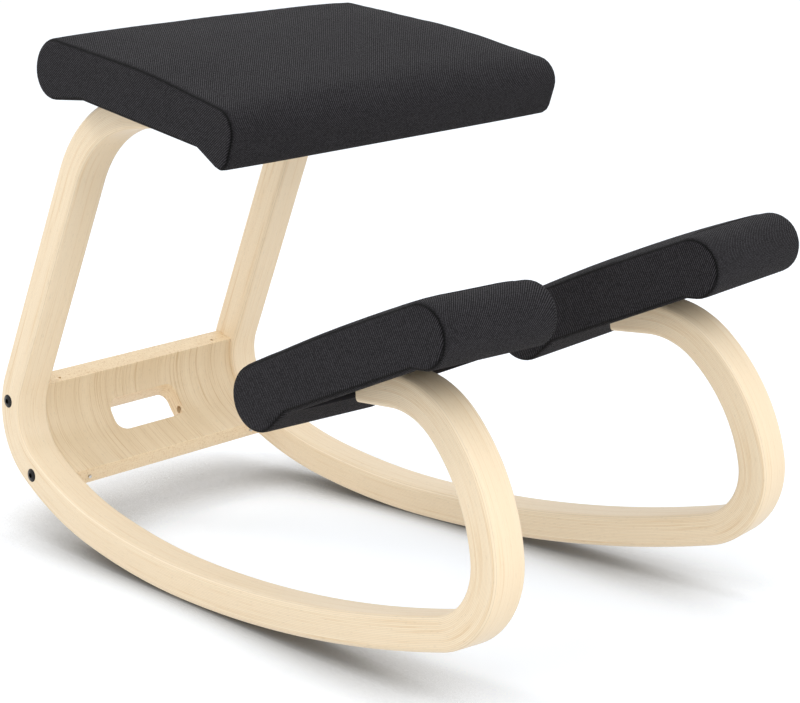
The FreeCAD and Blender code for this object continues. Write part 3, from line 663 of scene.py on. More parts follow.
def carved(mesh, cutter, ease=0.0):
    """The mesh less a cutter, with its new sharp edges eased."""
    holder = holder_of("carving", mesh)
    bmesh.ops.recalc_face_normals(cutter, faces=cutter.faces[:])
    tool_mesh = mesh_from(cutter, "cutter")
    tool = holder_of("cutter", tool_mesh)
    cut = holder.modifiers.new("cut", "BOOLEAN")
    cut.operation = "DIFFERENCE"
    cut.solver = "EXACT"
    cut.object = tool
    if ease:
        bevel = holder.modifiers.new("ease", "BEVEL")
        bevel.width = ease
        bevel.segments = EASE_SEGMENTS
        bevel.limit_method = "ANGLE"
        bevel.angle_limit = math.radians(EASE_ANGLE)
        bevel.use_clamp_overlap = True
    result = evaluated(holder)
    bpy.data.objects.remove(tool)
    bpy.data.meshes.remove(tool_mesh)
    return result


# Bent laminate: a rounded section swept along a path

def bent_laminate_tree():
    existing = bpy.data.node_groups.get("Bent laminate")
    if existing:
        return existing
    tree = bpy.data.node_groups.new("Bent laminate", "GeometryNodeTree")
    face = tree.interface
    face.new_socket("Path", in_out="INPUT", socket_type="NodeSocketGeometry")
    for label, default in (("Width", 0.037), ("Thickness", 0.032), ("Edge Radius", 0.0045)):
        face.new_socket(label, in_out="INPUT", socket_type="NodeSocketFloat").default_value = default
    face.new_socket("Material", in_out="INPUT", socket_type="NodeSocketMaterial")
    face.new_socket("Band", in_out="OUTPUT", socket_type="NodeSocketGeometry")
    given = tree.nodes.new("NodeGroupInput")
    result = tree.nodes.new("NodeGroupOutput")
    section = add(tree, "GeometryNodeCurvePrimitiveQuadrilateral",
                  {"Width": given.outputs["Width"], "Height": given.outputs["Thickness"]})
    rounded = add(tree, "GeometryNodeFilletCurve",
                  {"Curve": section.outputs[0], "Radius": given.outputs["Edge Radius"], "Limit Radius": True,
                   "Count": 6}, mode="POLY")
    swept = add(tree, "GeometryNodeCurveToMesh",
                {"Curve": given.outputs["Path"], "Profile Curve": rounded.outputs[0], "Fill Caps": True})
    real = add(tree, "GeometryNodeRealizeInstances", {0: swept.outputs[0]})
    last = add(tree, "GeometryNodeSetMaterial",
               {"Geometry": real.outputs[0], "Material": given.outputs["Material"]})
    tree.links.new(last.outputs[0], result.inputs[0])
    return tree


def path_curve(name, points, radii):
    """A poly curve through (y, z) points, with a scale for the section at each."""
    curve = bpy.data.curves.new(name, "CURVE")
    curve.dimensions = "3D"
    spline = curve.splines.new("POLY")
    spline.points.add(len(points) - 1)
    for spot, (y, z), radius in zip(spline.points, points, radii):
        spot.co = (0, y, z, 1)
        spot.radius = radius
    return curve


def laminate(name, points, radii, width, thick, edge, material):
    """Sweep the section and return the mesh, in the plane's own frame."""
    tree = bent_laminate_tree()
    curve = path_curve(name, points, radii)
    holder = holder_of(name, curve)
    sweep = holder.modifiers.new("laminate", "NODES")
    sweep.node_group = tree
    values = {"Width": width, "Thickness": thick, "Edge Radius": edge, "Material": material}
    for item in tree.interface.items_tree:
        if item.item_type == "SOCKET" and item.in_out == "INPUT" and item.name in values:
            sweep[item.identifier] = values[item.name]
    mesh = evaluated(holder)
    bpy.data.curves.remove(curve)
    return mesh


def end_radii(points):
    """Section scales that round the path's ends."""
    radii = [1.0] * len(points)
    for start, way in ((0, 1), (len(points) - 1, -1)):
        for step in range(len(END_SHARES) + 1):
            share = (points[start + way * step] - points[start]).length / END_ROUND
            if share < 1:
                drawn_in = 1 - math.sqrt(1 - (1 - share) ** 2)
                radii[start + way * step] = 1 - 2 * END_ROUND / BAND_THICK * drawn_in
    return radii


def with_fine_ends(points):
    """More points where the ends are rounded."""
    ends = []
    for here, there in ((points[0], points[1]), (points[-1], points[-2])):
        ahead = (there - here).normalized()
        ends.append([here + ahead * (END_ROUND * share) for share in END_SHARES])
    return ends[0] + points[1:-1] + ends[1][::-1]


def write_grain(mesh, place, chains):
    """Store each point's distance along the band, depth below its outer surface and place across."""
    into = place.inverted()
    values = []
    for vertex in mesh.vertices:
        spot = into @ vertex.co
        along, depth = along_and_depth(Vector((spot.y, spot.z)), chains)
        values += [along, depth, spot.x]
    layer = mesh.attributes.new("grain", "FLOAT_VECTOR", "POINT")
    layer.data.foreach_set("vector", values)


def counterbores(bm, side):
    """Sunk seats for the bolt heads at the seat end and at the knee end."""
    first, pitch, grip = BOARD_BOLTS["seat"]
    *_, (tip, heading, _, length, _) = walk(REAR_CHAIN, 1)
    tip = tip + ahead_of(heading) * length + left_of(heading) * BAND_THICK
    into_seat = seat_place().inverted()
    for number in range(2):
        run = first + number * pitch
        spot = into_seat @ frame_place(side) @ Vector((0, tip.x + run, tip.y))
        bore_into(bm, seat_place(), spot.x, spot.y, grip)
    first, pitch, grip = BOARD_BOLTS["pad"]
    for number in range(2):
        bore_into(bm, pad_place(side), -side * PAD_OUTSET, -first - number * pitch, grip)


def bore_into(bm, place, x, y, grip):
    down = place @ Matrix.Translation((x, y, -grip)) @ turn(90, "Y")
    cylinder_into(bm, down, BOLT_HEAD_DIA / 2 + HOLE_CLEARANCE, 2 * BAND_THICK)


def bend_centre():
    """Centre of the back bend, the third stretch of the rearward chain."""
    return list(walk(REAR_CHAIN, 1))[2][2]


def bend_point(depth, degrees):
    """A point of the back bend, so far below level about its centre."""
    return bend_centre() + ahead_of(-math.radians(degrees)) * (REAR_CHAIN[2][0] - depth)


def on_frame(side, x, spot, facing):
    """A place on a frame, x outward from its middle; its x axis faces out for 1 and in for -1."""
    place = frame_place(side) @ Matrix.Translation((side * x, spot.x, spot.y))
    return place @ turn(180, "Z") if side * facing < 0 else place


def side_frame(side, word):
    material = frame_wood()
    middle = BAND_THICK / 2
    rear = sample(REAR_CHAIN, 1, middle)
    front = sample(FRONT_CHAIN, -1, middle)
    points = with_fine_ends(front[::-1] + rear[1:])
    mesh = laminate(word + "_band", points, end_radii(points), BAND_WIDTH, BAND_THICK, BAND_ROUND, material)
    place = frame_place(side)
    mesh.transform(place)
    cutter = bmesh.new()
    reach = SEAT_CUT_REACH
    box_into(cutter, seat_place(), (min(side * reach, 0), -reach, 0), (max(side * reach, 0), reach, reach))
    box_into(cutter, pad_place(side), *KNEE_CUT)
    counterbores(cutter, side)
    for degrees in BOLT_ANGLES.values():
        start = on_frame(side, BAND_WIDTH / 2 - CAP_SINK, bend_point(BOLT_DEPTH, degrees), 1)
        cylinder_into(cutter, start, CAP_DIA / 2 + HOLE_CLEARANCE, CAP_SINK * 2)
    mesh = carved(mesh, cutter)
    write_grain(mesh, place, ((FRONT_CHAIN, -1), (REAR_CHAIN, 1)))
    smooth_by_angle(mesh)
    piece = new_piece(word + "_bent_frame", mesh, material)
    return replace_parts(piece, word + "_side_frame")


# Cross panel

def panel_chain_points(depth):
    """The panel's middle line, from its low edge to its upper edge."""
    chain = REAR_CHAIN[:2] + ((REAR_CHAIN[2][0], PANEL_BEND_TURN),)
    _, heel, bend = walk(chain, 1)

    def arc(centre, radius, start, sweep, steps):
        return [centre - left_of(start + sweep * i / steps) * (radius - depth) for i in range(steps + 1)]

    _, heading, centre, radius, sweep = heel
    low = PANEL_LOW_REACH / (radius - depth)
    points = arc(centre, radius, heading + sweep - low, low, LOW_STEPS)[:-1]
    _, heading, centre, radius, sweep = bend
    return points + arc(centre, radius, heading, sweep, BEND_STEPS)


def rounded_block_into(bm, matrix, length, depth, height, corner):
    """A block along the matrix's y axis whose x-z section has round corners."""
    ring = []
    for cx, cz, first in ((1, 1, 0), (-1, 1, 90), (-1, -1, 180), (1, -1, 270)):
        for step in range(CORNER_STEPS + 1):
            angle = math.radians(first + 90 * step / CORNER_STEPS)
            ring.append((cx * (length / 2 - corner) + corner * math.cos(angle),
                         cz * (height / 2 - corner) + corner * math.sin(angle)))
    near = [bm.verts.new(matrix @ Vector((x, 0, z))) for x, z in ring]
    far = [bm.verts.new(matrix @ Vector((x, depth, z))) for x, z in ring]
    bm.faces.new(near)
    bm.faces.new(far[::-1])
    for i in range(len(ring)):
        j = (i + 1) % len(ring)
        bm.faces.new((near[j], near[i], far[i], far[j]))


def inner_plane(side):
    """A point and a normal of a frame's inner face."""
    place = frame_place(side)
    point = place @ Vector((-side * BAND_WIDTH / 2, 0, 0))
    return point, (place.to_3x3() @ Vector((side, 0, 0))).normalized()


def trimmed_to_frames(mesh):
    """Cut the panel's ends off at the frames' inner faces."""
    bm = bmesh.new()
    bm.from_mesh(mesh)
    for side, _ in SIDES:
        point, normal = inner_plane(side)
        parts = bm.verts[:] + bm.edges[:] + bm.faces[:]
        cut = bmesh.ops.bisect_plane(bm, geom=parts, plane_co=point, plane_no=normal, clear_outer=True)
        rim = [item for item in cut["geom_cut"] if isinstance(item, bmesh.types.BMEdge)]
        bmesh.ops.edgeloop_fill(bm, edges=rim)
    bmesh.ops.recalc_face_normals(bm, faces=bm.faces[:])
    bm.to_mesh(mesh)
    bm.free()


def slot_cutter(place):
    cutter = bmesh.new()
    centre = bend_centre()
    line = place @ Matrix.Translation((0, centre.x, centre.y)) @ turn(-SLOT_ANGLE, "X")
    start = REAR_CHAIN[2][0] - BAND_THICK - PANEL_RECESS - PANEL_THICK
    mouth = line @ Matrix.Translation((0, start, SLOT_RISE))
    rounded_block_into(cutter, mouth, SLOT_LENGTH, 3 * PANEL_THICK, SLOT_HEIGHT, SLOT_ROUND)
    return cutter


def hole_cutter(points, depth):
    """Pin holes in from the panel's edges, and dowel holes through to the slot."""
    cutter = bmesh.new()
    ends = {"upper": points[-1], "lower": points[0]}
    for side, _ in SIDES:
        across = -side * (BAND_WIDTH / 2 + PIN_INSET)
        for height, degrees in BOLT_ANGLES.items():
            bolt = bend_point(BOLT_DEPTH, degrees)
            mouth = ends[height] + (ends[height] - bolt).normalized() * PIN_DIA
            spot, deep = (frame_place(side) @ Vector((across, end.x, end.y)) for end in (mouth, bolt))
            aim = (deep - spot).to_track_quat("X", "Z").to_matrix().to_4x4()
            hole = Matrix.Translation(spot) @ aim
            cylinder_into(cutter, hole, PIN_DIA / 2, (deep - spot).length, sides=24)
        into = on_frame(side, -(BAND_WIDTH / 2 + DOWEL_REACH), bend_point(depth, DOWEL_ANGLE), -1)
        length = TRACK_HALF - BAND_WIDTH / 2 - DOWEL_REACH - SLOT_LENGTH / 4
        cylinder_into(cutter, into, DOWEL_DIA / 2, length, sides=32)
    return cutter


def cross_panel():
    material = panel_wood()
    depth = BAND_THICK - PANEL_RECESS - PANEL_THICK / 2
    points = panel_chain_points(depth)
    mesh = laminate("panel", points, [1.0] * len(points), 2 * TRACK_HALF, PANEL_THICK, PANEL_ROUND, material)
    place = panel_place()
    mesh.transform(place)
    trimmed_to_frames(mesh)
    mesh = carved(mesh, slot_cutter(place), EDGE_EASE)
    mesh = carved(mesh, hole_cutter(points, depth))
    write_grain(mesh, place, ((REAR_CHAIN, 1),))
    smooth_by_angle(mesh)
    piece = new_piece("curved_cross_panel", mesh, material)
    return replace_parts(piece, "cross_panel")


# Domed bolt heads

def head_outline():
    """Rings of the head as (x, reach), from the back up to the socket."""
    radius = CAP_DIA / 2
    ball = (radius ** 2 + CAP_RISE ** 2) / (2 * CAP_RISE)
    along, across = CAP_EDGE
    rings = [(-CAP_SINK, radius), (-along, radius), (0.0, radius - across)]
    for share in DOME_SHARES:
        reach = radius * share
        rings.append((CAP_RISE - ball + math.sqrt(ball ** 2 - reach ** 2), reach))
    return rings


def hexagon_reach(angle):
    """Distance from the centre to the socket's wall."""
    off = (math.degrees(angle) + 30) % 60 - 30
    return CAP_SOCKET / 2 / math.cos(math.radians(off))


def head_mesh():
    """A turned head with a domed face and a hexagon socket."""
    angles = [2 * math.pi * i / CAP_SIDES for i in range(CAP_SIDES)]
    bm = bmesh.new()
    loops = []
    for x, reach in head_outline():
        loops.append([bm.verts.new((x, reach * math.cos(a), reach * math.sin(a))) for a in angles])
    for x in (CAP_RISE - SOCKET_LIP, CAP_RISE - SOCKET_DEPTH):
        loops.append([bm.verts.new((x, hexagon_reach(a) * math.cos(a), hexagon_reach(a) * math.sin(a)))
                      for a in angles])
    for one, two in zip(loops, loops[1:]):
        faces_between(bm, one, two)
    bm.faces.new(loops[0][::-1])
    bm.faces.new(loops[-1])
    bmesh.ops.recalc_face_normals(bm, faces=bm.faces[:])
    return mesh_from(bm, "head")


def domed_head(side, word, height):
    mesh = head_mesh()
    mesh.transform(on_frame(side, BAND_WIDTH / 2, bend_point(BOLT_DEPTH, BOLT_ANGLES[height]), 1))
    smooth_by_angle(mesh, degrees=40)
    piece = new_piece("%s_%s_domed_head" % (word, height), mesh, black_finish())
    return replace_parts(piece, "%s_%s_panel_bolt" % (word, height))


# Upholstery

def belt(circles, inset, counts=None):
    """Points of a closed belt around circles (y, z, radius), counter-clockwise seen from +x.

    counts holds how many steps each arc and each straight stretch gets; without it
    they are chosen from the lengths and returned.
    """
    shrunk = [(y, z if rad else z + inset, max(rad - inset, 0)) for y, z, rad in circles]
    normals = []
    for (y0, z0, r0), (y1, z1, r1) in zip(shrunk, shrunk[1:] + shrunk[:1]):
        gap = Vector((y1 - y0, z1 - z0))
        share = max(-1.0, min(1.0, round((r0 - r1) / gap.length, 9)))
        ahead = gap.normalized()
        right = Vector((ahead.y, -ahead.x))
        normals.append(ahead * share + right * math.sqrt(1 - share * share))
    stretches = []
    for number, (y, z, rad) in enumerate(shrunk):
        before = normals[number - 1]
        after = normals[number]
        centre = Vector((y, z))
        start = math.atan2(before.y, before.x)
        sweep = (math.atan2(after.y, after.x) - start) % (2 * math.pi)
        y1, z1, rad1 = shrunk[(number + 1) % len(shrunk)]
        leave = centre + after * rad
        arrive = Vector((y1, z1)) + after * rad1
        stretches.append((centre, rad, start, sweep, leave, arrive))
    if counts is None:
        counts = []
        step = bpy.context.scene.chair_sizes.mesh_step
        for _, rad, _, sweep, leave, arrive in stretches:
            length = (arrive - leave).length
            arc = max(4, round(rad * sweep / step)) if rad else 0
            counts.append((arc, max(1, round(length / step)) if length > SAME_SPOT else 0))
    points = []
    for (centre, rad, start, sweep, leave, arrive), (arc, line) in zip(stretches, counts):
        for step in range(arc):
            angle = start + sweep * step / arc
            points.append(centre + Vector((math.cos(angle), math.sin(angle))) * rad)
        for step in range(line):
            points.append(leave.lerp(arrive, step / line))
    return points, counts


def seam_distances(half, step):
    """Places across a cushion, from one seam to the other, closer near the seams."""
    inner = half - WRAP_ROWS[-1]
    count = max(6, round(2 * inner / step))
    middle = [WRAP_ROWS[-1] + 2 * inner * i / count for i in range(1, count)]
    return WRAP_ROWS + middle + [2 * half - d for d in reversed(WRAP_ROWS)]


def crown_share(place):
    """How much of the crown a section has, at a place from -1 to 1 across."""
    return 1 - min(1.0, abs(place)) ** CROWN_POWER


def cushion_mesh(cushion):
    """The sewn cover: the wrap and both side panels, with dipped seams, a weave map and painted shade along
    the seams.
    """
    sizes = bpy.context.scene.chair_sizes
    _, counts = belt(cushion.outline(0.0), 0.0)
    bm = bmesh.new()
    weave = bm.loops.layers.uv.new("weave")
    # A point layer of painted shade, darkest at the seams
    painted_seam_shade = bm.verts.layers.float.new("painted_seam_shade")
    rows = []
    maps = []
    for run in seam_distances(cushion.half, sizes.mesh_step):
        edge = min(run, 2 * cushion.half - run)
        place = (run - cushion.half) / cushion.half
        near = max(0.0, 1 - edge / sizes.seam_roll)
        dip = sizes.seam_dip * near ** 2 - sizes.fullness
        points, _ = belt(cushion.outline(cushion.crown * crown_share(place)), dip, counts)
        row = []
        lengths = [0.0]
        for number, spot in enumerate(points):
            x = place * (cushion.half + sizes.side_swell / 2 - cushion.taper * spot.x)
            vertex = bm.verts.new((x, spot.x, spot.y))
            vertex[painted_seam_shade] = painted_shade_near_seam(edge)
            row.append(vertex)
            lengths.append(lengths[-1] + (points[(number + 1) % len(points)] - spot).length)
        rows.append(row)
        maps.append(lengths)
    for one, two, map_one, map_two in zip(rows, rows[1:], maps, maps[1:]):
        for i, face in enumerate(faces_between(bm, one, two)):
            lengths = (map_one[i], map_one[i + 1], map_two[i + 1], map_two[i])
            for loop, length in zip(face.loops, lengths):
                loop[weave].uv = (loop.vert.co.x, -length)
    for side, border in ((-1, rows[0]), (1, rows[-1])):
        side_panel_into(bm, cushion, side, border, counts, weave, painted_seam_shade)
    bmesh.ops.recalc_face_normals(bm, faces=bm.faces[:])
    return bm


def painted_shade_near_seam(edge):
    """How much painted shade darkens a point at its distance from the seam."""
    return SEAM_PAINTED_SHADE * max(0.0, 1 - edge / SEAM_PAINTED_SHADE_WIDTH) ** SEAM_PAINTED_SHADE_POWER


def side_panel_into(bm, cushion, side, border, counts, weave, painted_seam_shade):
    """A side panel that swells out of its seam, closed by one flat inner face."""
    sizes = bpy.context.scene.chair_sizes
    rings = [border]
    skew = math.hypot(1, cushion.taper)
    for edge in PANEL_ROWS:
        points, _ = belt(cushion.outline(0.0), edge + sizes.seam_dip - sizes.fullness, counts)
        swell = sizes.side_swell * (SIDE_FULL - max(0.0, 1 - edge / sizes.seam_roll) ** 2) * skew
        ring = []
        for spot in points:
            vertex = bm.verts.new((side * (cushion.half - cushion.taper * spot.x + swell), spot.x, spot.y))
            vertex[painted_seam_shade] = painted_shade_near_seam(edge)
            ring.append(vertex)
        rings.append(ring)
    made = []
    for one, two in zip(rings, rings[1:]):
        made += faces_between(bm, one, two)
    made.append(bm.faces.new(rings[-1]))
    for face in made:
        for loop in face.loops:
            loop[weave].uv = (loop.vert.co.y * side, loop.vert.co.z)


def board_recess(cushion):
    """A cutter for the hollow under the cushion that its board fills."""
    cutter = bmesh.new()
    box_into(cutter, Matrix.Identity(4), (-cushion.board_half, -cushion.board_front, -6 * cushion.drop),
             (cushion.board_half, cushion.board_rear, BOARD_SINK))
    return cutter


def upholster(name, cushion, place, nodes):
    mesh = mesh_from(cushion_mesh(cushion), name)
    swell(mesh, cushion)
    unevenness(mesh, cushion)
    mesh = carved(mesh, board_recess(cushion))
    mesh.transform(place)
    smooth_by_angle(mesh, degrees=55)
    piece = new_piece(name, mesh, cover_cloth())
    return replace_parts(piece, *nodes)


def from_seam(cushion, spot):
    """Distance of a point from the nearest seam, measured across."""
    return cushion.half - cushion.taper * spot.y - abs(spot.x)


def unevenness(mesh, cushion):
    """Slight waves where the cloth pulls at its seams and over the foam."""
    sizes = bpy.context.scene.chair_sizes
    normals = [v.normal.copy() for v in mesh.vertices]
    for vertex, normal in zip(mesh.vertices, normals):
        spot = vertex.co
        edge = max(from_seam(cushion, spot), 0.0)
        pull = math.exp(-edge / PULL_REACH) * (1 - math.exp(-edge / PUCKER_START))
        broad = noise.noise(spot * BROAD_WAVES)
        fine = noise.noise(spot * FINE_WAVES)
        if spot.z > -cushion.drop + SMOOTH_BELOW:
            vertex.co = spot + normal * (sizes.unevenness * (BROAD_SHARE * broad + FINE_SHARE * pull * fine))


def swell(mesh, cushion):
    """Blow the closed cover up a little as cloth, and carry the movement over to the sewn mesh."""
    blown = holder_of("blown", mesh.copy())
    remesh = blown.modifiers.new("voxels", "REMESH")
    remesh.mode = "VOXEL"
    remesh.voxel_size = bpy.context.scene.chair_sizes.voxel
    rest = evaluated(blown)
    before = [vertex.co.copy() for vertex in rest.vertices]
    moves = cloth_moves(rest, cushion, before)
    tree = kdtree.KDTree(len(before))
    for index, spot in enumerate(before):
        tree.insert(spot, index)
    tree.balance()
    for vertex in mesh.vertices:
        found = tree.find_n(vertex.co, NEIGHBOURS)
        total = sum(1 / (distance + BLUR) for _, _, distance in found)
        move = Vector((0, 0, 0))
        for _, index, distance in found:
            move += moves[index] * (1 / (distance + BLUR) / total)
        vertex.co += move
    bpy.data.meshes.remove(rest)


def cloth_moves(rest, cushion, before):
    """How far each point moves when the cover is filled, pinned along its seams and below."""
    sizes = bpy.context.scene.chair_sizes
    scene = bpy.context.scene
    blown = holder_of("blown", rest)
    pins = blown.vertex_groups.new(name="pins")
    for vertex in rest.vertices:
        under = vertex.co.z < -cushion.drop + HELD_BELOW
        hold = 1.0 if under else max(0.0, 1 - abs(from_seam(cushion, vertex.co)) / PULL_REACH)
        pins.add([vertex.index], hold, "REPLACE")
    settings = blown.modifiers.new("cloth", "CLOTH").settings
    settings.quality = 6
    settings.mass = 0.25
    settings.tension_stiffness = 25
    settings.compression_stiffness = 25
    settings.bending_stiffness = 4
    settings.use_pressure = True
    settings.uniform_pressure_force = sizes.pressure
    settings.vertex_group_mass = "pins"
    settings.effector_weights.gravity = 0
    for number in range(1, CLOTH_FRAMES + 1):
        scene.frame_set(number)
    bpy.context.view_layer.update()
    after = blown.evaluated_get(bpy.context.evaluated_depsgraph_get()).data
    moves = [vertex.co - spot for vertex, spot in zip(after.vertices, before)]
    scene.frame_set(1)
    bpy.data.objects.remove(blown)
    cap = sizes.swell_cap
    return [move if move.length < cap else move.normalized() * cap for move in moves]


# Settings that a user would change

class ChairSizes(bpy.types.PropertyGroup):
    ply: FloatProperty(name="Ply", description="Thickness of one veneer", default=1.5 * MM, unit="LENGTH")
    thread: FloatProperty(name="Thread", description="Width of one thread of the twill", default=0.66 * MM,
                          unit="LENGTH")
    mesh_step: FloatProperty(name="Mesh step", description="Spacing of the cover's points", default=5 * MM,
                             unit="LENGTH")
    seam_roll: FloatProperty(name="Seam roll", description="Width over which the cloth dips to a seam",
                             default=4 * MM, unit="LENGTH")
    fullness: FloatProperty(name="Fullness",
                            description="How far the cloth stands out from the sewn outline",
                            default=1.2 * MM, unit="LENGTH")
    seam_dip: FloatProperty(name="Seam dip", description="Depth of the seam below the cloth",
                            default=1.5 * MM, unit="LENGTH")
    side_swell: FloatProperty(name="Side swell", description="How far a side panel stands out of its seam",
                              default=1.6 * MM, unit="LENGTH")
    unevenness: FloatProperty(name="Unevenness", description="Height of the cloth's slight waves",
                              default=0.7 * MM, unit="LENGTH")
    voxel: FloatProperty(name="Voxel", description="Mesh size of the cloth simulation", default=7 * MM,
                         unit="LENGTH")
    pressure: FloatProperty(name="Pressure", description="Pressure that fills the cover", default=3.0)
    swell_cap: FloatProperty(name="Swell cap", description="Most that a point may move under pressure",
                             default=2.5 * MM, unit="LENGTH")


class ChairColours(bpy.types.PropertyGroup):
    wood_pale: FloatVectorProperty(name="Pale wood", description="Ground tone of the bands", subtype="COLOR",
                                   default=(0.91, 0.775, 0.575), min=0, max=1)
    wood_grain: FloatVectorProperty(name="Wood grain", description="Tone of the darker grain",
                                    subtype="COLOR", default=(0.74, 0.53, 0.295), min=0, max=1)
    panel_pale: FloatVectorProperty(name="Pale panel", description="Ground tone of the cross panel",
                                    subtype="COLOR", default=(0.98, 0.815, 0.57), min=0, max=1)
    warp: FloatVectorProperty(name="Warp", description="Dark threads of the cover", subtype="COLOR",
                              default=(0.002, 0.002, 0.0025), min=0, max=1)
    weft: FloatVectorProperty(name="Weft", description="Light threads of the cover", subtype="COLOR",
                              default=(0.068, 0.064, 0.073), min=0, max=1)
    floor: FloatVectorProperty(name="Floor", description="Colour of the floor", subtype="COLOR",
                               default=(0.82, 0.82, 0.82), min=0, max=1)


# Operators

class CHAIR_OT_side_frames(bpy.types.Operator):
    """Sweep the two bent laminated side frames"""
    bl_idname = "chair.side_frames"
    bl_label = "Side Frames"

    def execute(self, context):
        for side, word in SIDES:
            side_frame(side, word)
        return {"FINISHED"}


class CHAIR_OT_cross_panel(bpy.types.Operator):
    """Make the curved cross panel with its hand slot"""
    bl_idname = "chair.cross_panel"
    bl_label = "Cross Panel"

    def execute(self, context):
        cross_panel()
        return {"FINISHED"}


class CHAIR_OT_fittings(bpy.types.Operator):
    """Make the domed bolt heads and finish the fittings of the frame"""
    bl_idname = "chair.fittings"
    bl_label = "Fittings"

    def execute(self, context):
        for side, word in SIDES:
            for height in BOLT_ANGLES:
                domed_head(side, word, height)
            for name in ("_panel_sleeve_nuts", "_panel_lock_pins", "_knee_pad_bolts", "_knee_pad_t_nuts"):
                dress(word + name, zinc_finish())
            dress(word + "_locating_dowel", dowel_finish())
            dress(word + "_knee_pad_board", board_finish())
        dress("seat_bolts", zinc_finish())
        dress("seat_t_nuts", zinc_finish())
        dress("seat_board", board_finish())
        dress("seat_seam_tab", tab_finish())
        return {"FINISHED"}


def cover_nodes(word):
    return [word + part for part in ("_foam", "_cover_wrap", "_cover_left_side", "_cover_right_side")]


class CHAIR_OT_seat(bpy.types.Operator):
    """Upholster the seat"""
    bl_idname = "chair.seat"
    bl_label = "Seat"

    def execute(self, context):
        upholster("seat_cushion", SEAT, seat_place(), cover_nodes("seat"))
        return {"FINISHED"}


class CHAIR_OT_knee_pads(bpy.types.Operator):
    """Upholster the two knee pads"""
    bl_idname = "chair.knee_pads"
    bl_label = "Knee Pads"

    def execute(self, context):
        for side, word in SIDES:
            upholster(word + "_knee_cushion", KNEE_PAD, pad_place(side), cover_nodes(word + "_knee_pad"))
        return {"FINISHED"}


class CHAIR_OT_stage(bpy.types.Operator):
    """Set up the floor, the soft studio light and the camera"""
    bl_idname = "chair.stage"
    bl_label = "Stage"

    def execute(self, context):
        floor()
        world()
        lamps()
        camera()
        return {"FINISHED"}


# Half the floor's side; how far the painted contact shadow reaches, where it begins and ends, its tones and
# its tint
FLOOR_HALF = 15
SHADOW_REACH = 0.16
SHADOW_RANGE = (0.35, 0.93)
SHADOW_LEVEL = 0.25
SHADOW_SPAN = 0.86
SHADOW_RED = 0.965
SHADOW_BLUE = 1.045

# Strength of the light from all around, and of the white that the camera sees
SKY_LIGHT = 0.95
SKY_SHOWN = 1.0


def bare_tree(owner):
    """The emptied node tree of a material or a world."""
    owner.use_nodes = True
    owner.node_tree.nodes.clear()
    return owner.node_tree


def mirrored_ray(tree, path):
    return maths(tree, "MAXIMUM", path.outputs["Is Glossy Ray"], path.outputs["Is Transmission Ray"])


def mix_shaders(tree, factor, first, second):
    return add(tree, "ShaderNodeMixShader", {0: factor, 1: first.outputs[0], 2: second.outputs[0]})


def floor():
    bm = bmesh.new()
    bmesh.ops.create_grid(bm, x_segments=1, y_segments=1, size=FLOOR_HALF)
    mesh = mesh_from(bm, "studio_floor")
    obj = holder_of("studio_floor", mesh)
    material = bpy.data.materials.new("Studio floor")
    tree = bare_tree(material)
    matte = add(tree, "ShaderNodeBsdfDiffuse", {"Color": opaque(bpy.context.scene.chair_colours.floor)})
    # Painted shadow: the floor colour that the camera sees darkens by ambient occlusion where the chair is
    # close above it, tinted a little blue
    near = add(tree, "ShaderNodeAmbientOcclusion", {"Distance": SHADOW_REACH}, samples=8)
    bright = ramp(tree, near.outputs["AO"], *SHADOW_RANGE)
    level = plus(tree, SHADOW_LEVEL, times(tree, bright, SHADOW_SPAN))
    tinted = combine(tree, times(tree, level, SHADOW_RED), level, times(tree, level, SHADOW_BLUE))
    seen = add(tree, "ShaderNodeBsdfDiffuse", {"Color": tinted})
    white = add(tree, "ShaderNodeEmission", {"Strength": SKY_SHOWN})
    path = add(tree, "ShaderNodeLightPath")
    lit = mix_shaders(tree, path.outputs["Is Camera Ray"], matte, seen)
    final = mix_shaders(tree, mirrored_ray(tree, path), lit, white)
    output = add(tree, "ShaderNodeOutputMaterial")
    tree.links.new(final.outputs[0], output.inputs[0])
    mesh.materials.append(material)


def world():
    sky = bpy.data.worlds.new("Studio")
    bpy.context.scene.world = sky
    tree = bare_tree(sky)
    path = add(tree, "ShaderNodeLightPath")
    shown = maths(tree, "MAXIMUM", path.outputs["Is Camera Ray"], mirrored_ray(tree, path))
    soft = add(tree, "ShaderNodeBackground", {"Color": (1, 1, 1, 1), "Strength": SKY_LIGHT})
    white = add(tree, "ShaderNodeBackground", {"Color": (1, 1, 1, 1), "Strength": SKY_SHOWN})
    mixed = mix_shaders(tree, shown, soft, white)
    output = add(tree, "ShaderNodeOutputWorld")
    tree.links.new(mixed.outputs[0], output.inputs[0])


def area_lamp(name, spot, aim, size, power):
    data = bpy.data.lights.new(name, "AREA")
    data.shape = "RECTANGLE"
    data.size, data.size_y = size
    data.energy = power
    lamp = holder_of(name, data)
    lamp.location = spot
    lamp.rotation_euler = (Vector(aim) - Vector(spot)).to_track_quat("-Z", "Y").to_euler()


def lamps():
    area_lamp("rear_softbox", spot=(-1.3, 1.35, 1.95), aim=(0, 0, 0.1), size=(0.6, 0.6), power=10)
    area_lamp("camera_softbox", spot=(-2.2, -1.4, 1.6), aim=(0, 0, 0.3), size=(1.6, 1.6), power=10)
    area_lamp("front_softbox", spot=(0.4, -2.6, 1.6), aim=(0, 0, 0.25), size=(1.6, 1.6), power=18)


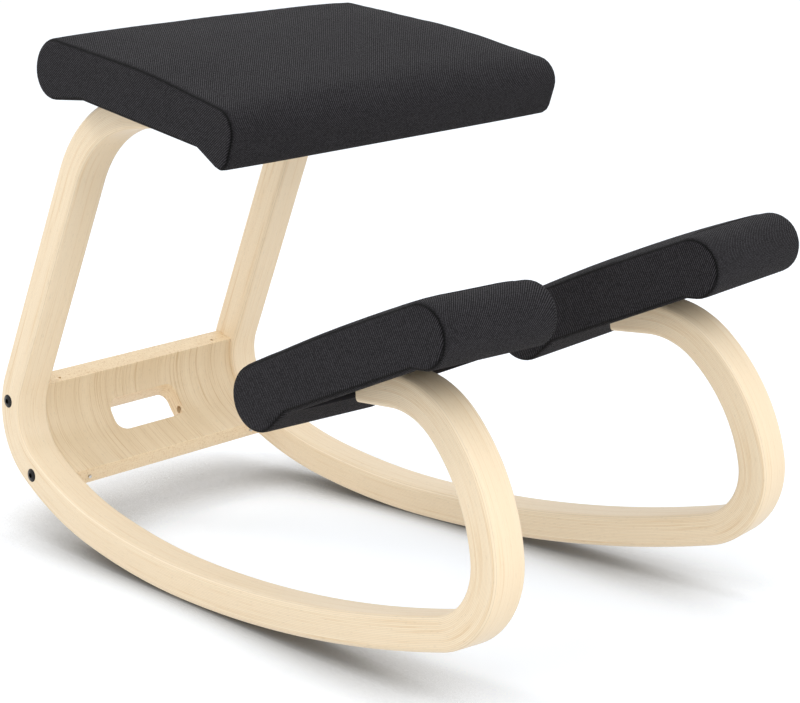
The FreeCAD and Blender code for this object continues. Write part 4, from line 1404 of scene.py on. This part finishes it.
CAMERA_SPOT = (-1.5903, -1.5670, 0.8234)
CAMERA_YAW = -46.37
CAMERA_PITCH = 15.06
CAMERA_LENS = 107.48
IMAGE_WIDTH = 800
CENTRE_OFFSET = (1.31, -2.24)


def camera():
    data = bpy.data.cameras.new("catalogue_camera")
    data.sensor_width = 36
    data.lens = CAMERA_LENS
    data.shift_x = CENTRE_OFFSET[0] / IMAGE_WIDTH
    data.shift_y = CENTRE_OFFSET[1] / IMAGE_WIDTH
    data.clip_end = 60
    obj = holder_of("catalogue_camera", data)
    obj.location = CAMERA_SPOT
    obj.rotation_euler = (math.radians(90 - CAMERA_PITCH), 0, math.radians(CAMERA_YAW))
    bpy.context.scene.camera = obj


class CHAIR_PT_sidebar(bpy.types.Panel):
    """Sizes, colours and pieces of the chair"""
    bl_idname = "CHAIR_PT_sidebar"
    bl_label = "Kneeling Chair"
    bl_space_type = "VIEW_3D"
    bl_region_type = "UI"
    bl_category = "Kneeling Chair"

    def draw(self, context):
        for group in (context.scene.chair_sizes, context.scene.chair_colours):
            for name in group.__annotations__:
                self.layout.prop(group, name)
        for operator in OPERATORS:
            self.layout.operator(operator.bl_idname)


OPERATORS = (CHAIR_OT_side_frames, CHAIR_OT_cross_panel, CHAIR_OT_fittings, CHAIR_OT_seat,
             CHAIR_OT_knee_pads, CHAIR_OT_stage)
CLASSES = (ChairSizes, ChairColours, *OPERATORS, CHAIR_PT_sidebar)


def register():
    for item in CLASSES:
        bpy.utils.register_class(item)
    bpy.types.Scene.chair_sizes = PointerProperty(type=ChairSizes)
    bpy.types.Scene.chair_colours = PointerProperty(type=ChairColours)


def unregister():
    del bpy.types.Scene.chair_colours
    del bpy.types.Scene.chair_sizes
    for item in reversed(CLASSES):
        bpy.utils.unregister_class(item)


def main():
    register()
    bpy.context.scene.view_settings.view_transform = "Standard"
    bpy.ops.chair.side_frames()
    bpy.ops.chair.cross_panel()
    bpy.ops.chair.fittings()
    bpy.ops.chair.seat()
    bpy.ops.chair.knee_pads()
    bpy.ops.chair.stage()


if __name__ == "__main__":
    main()
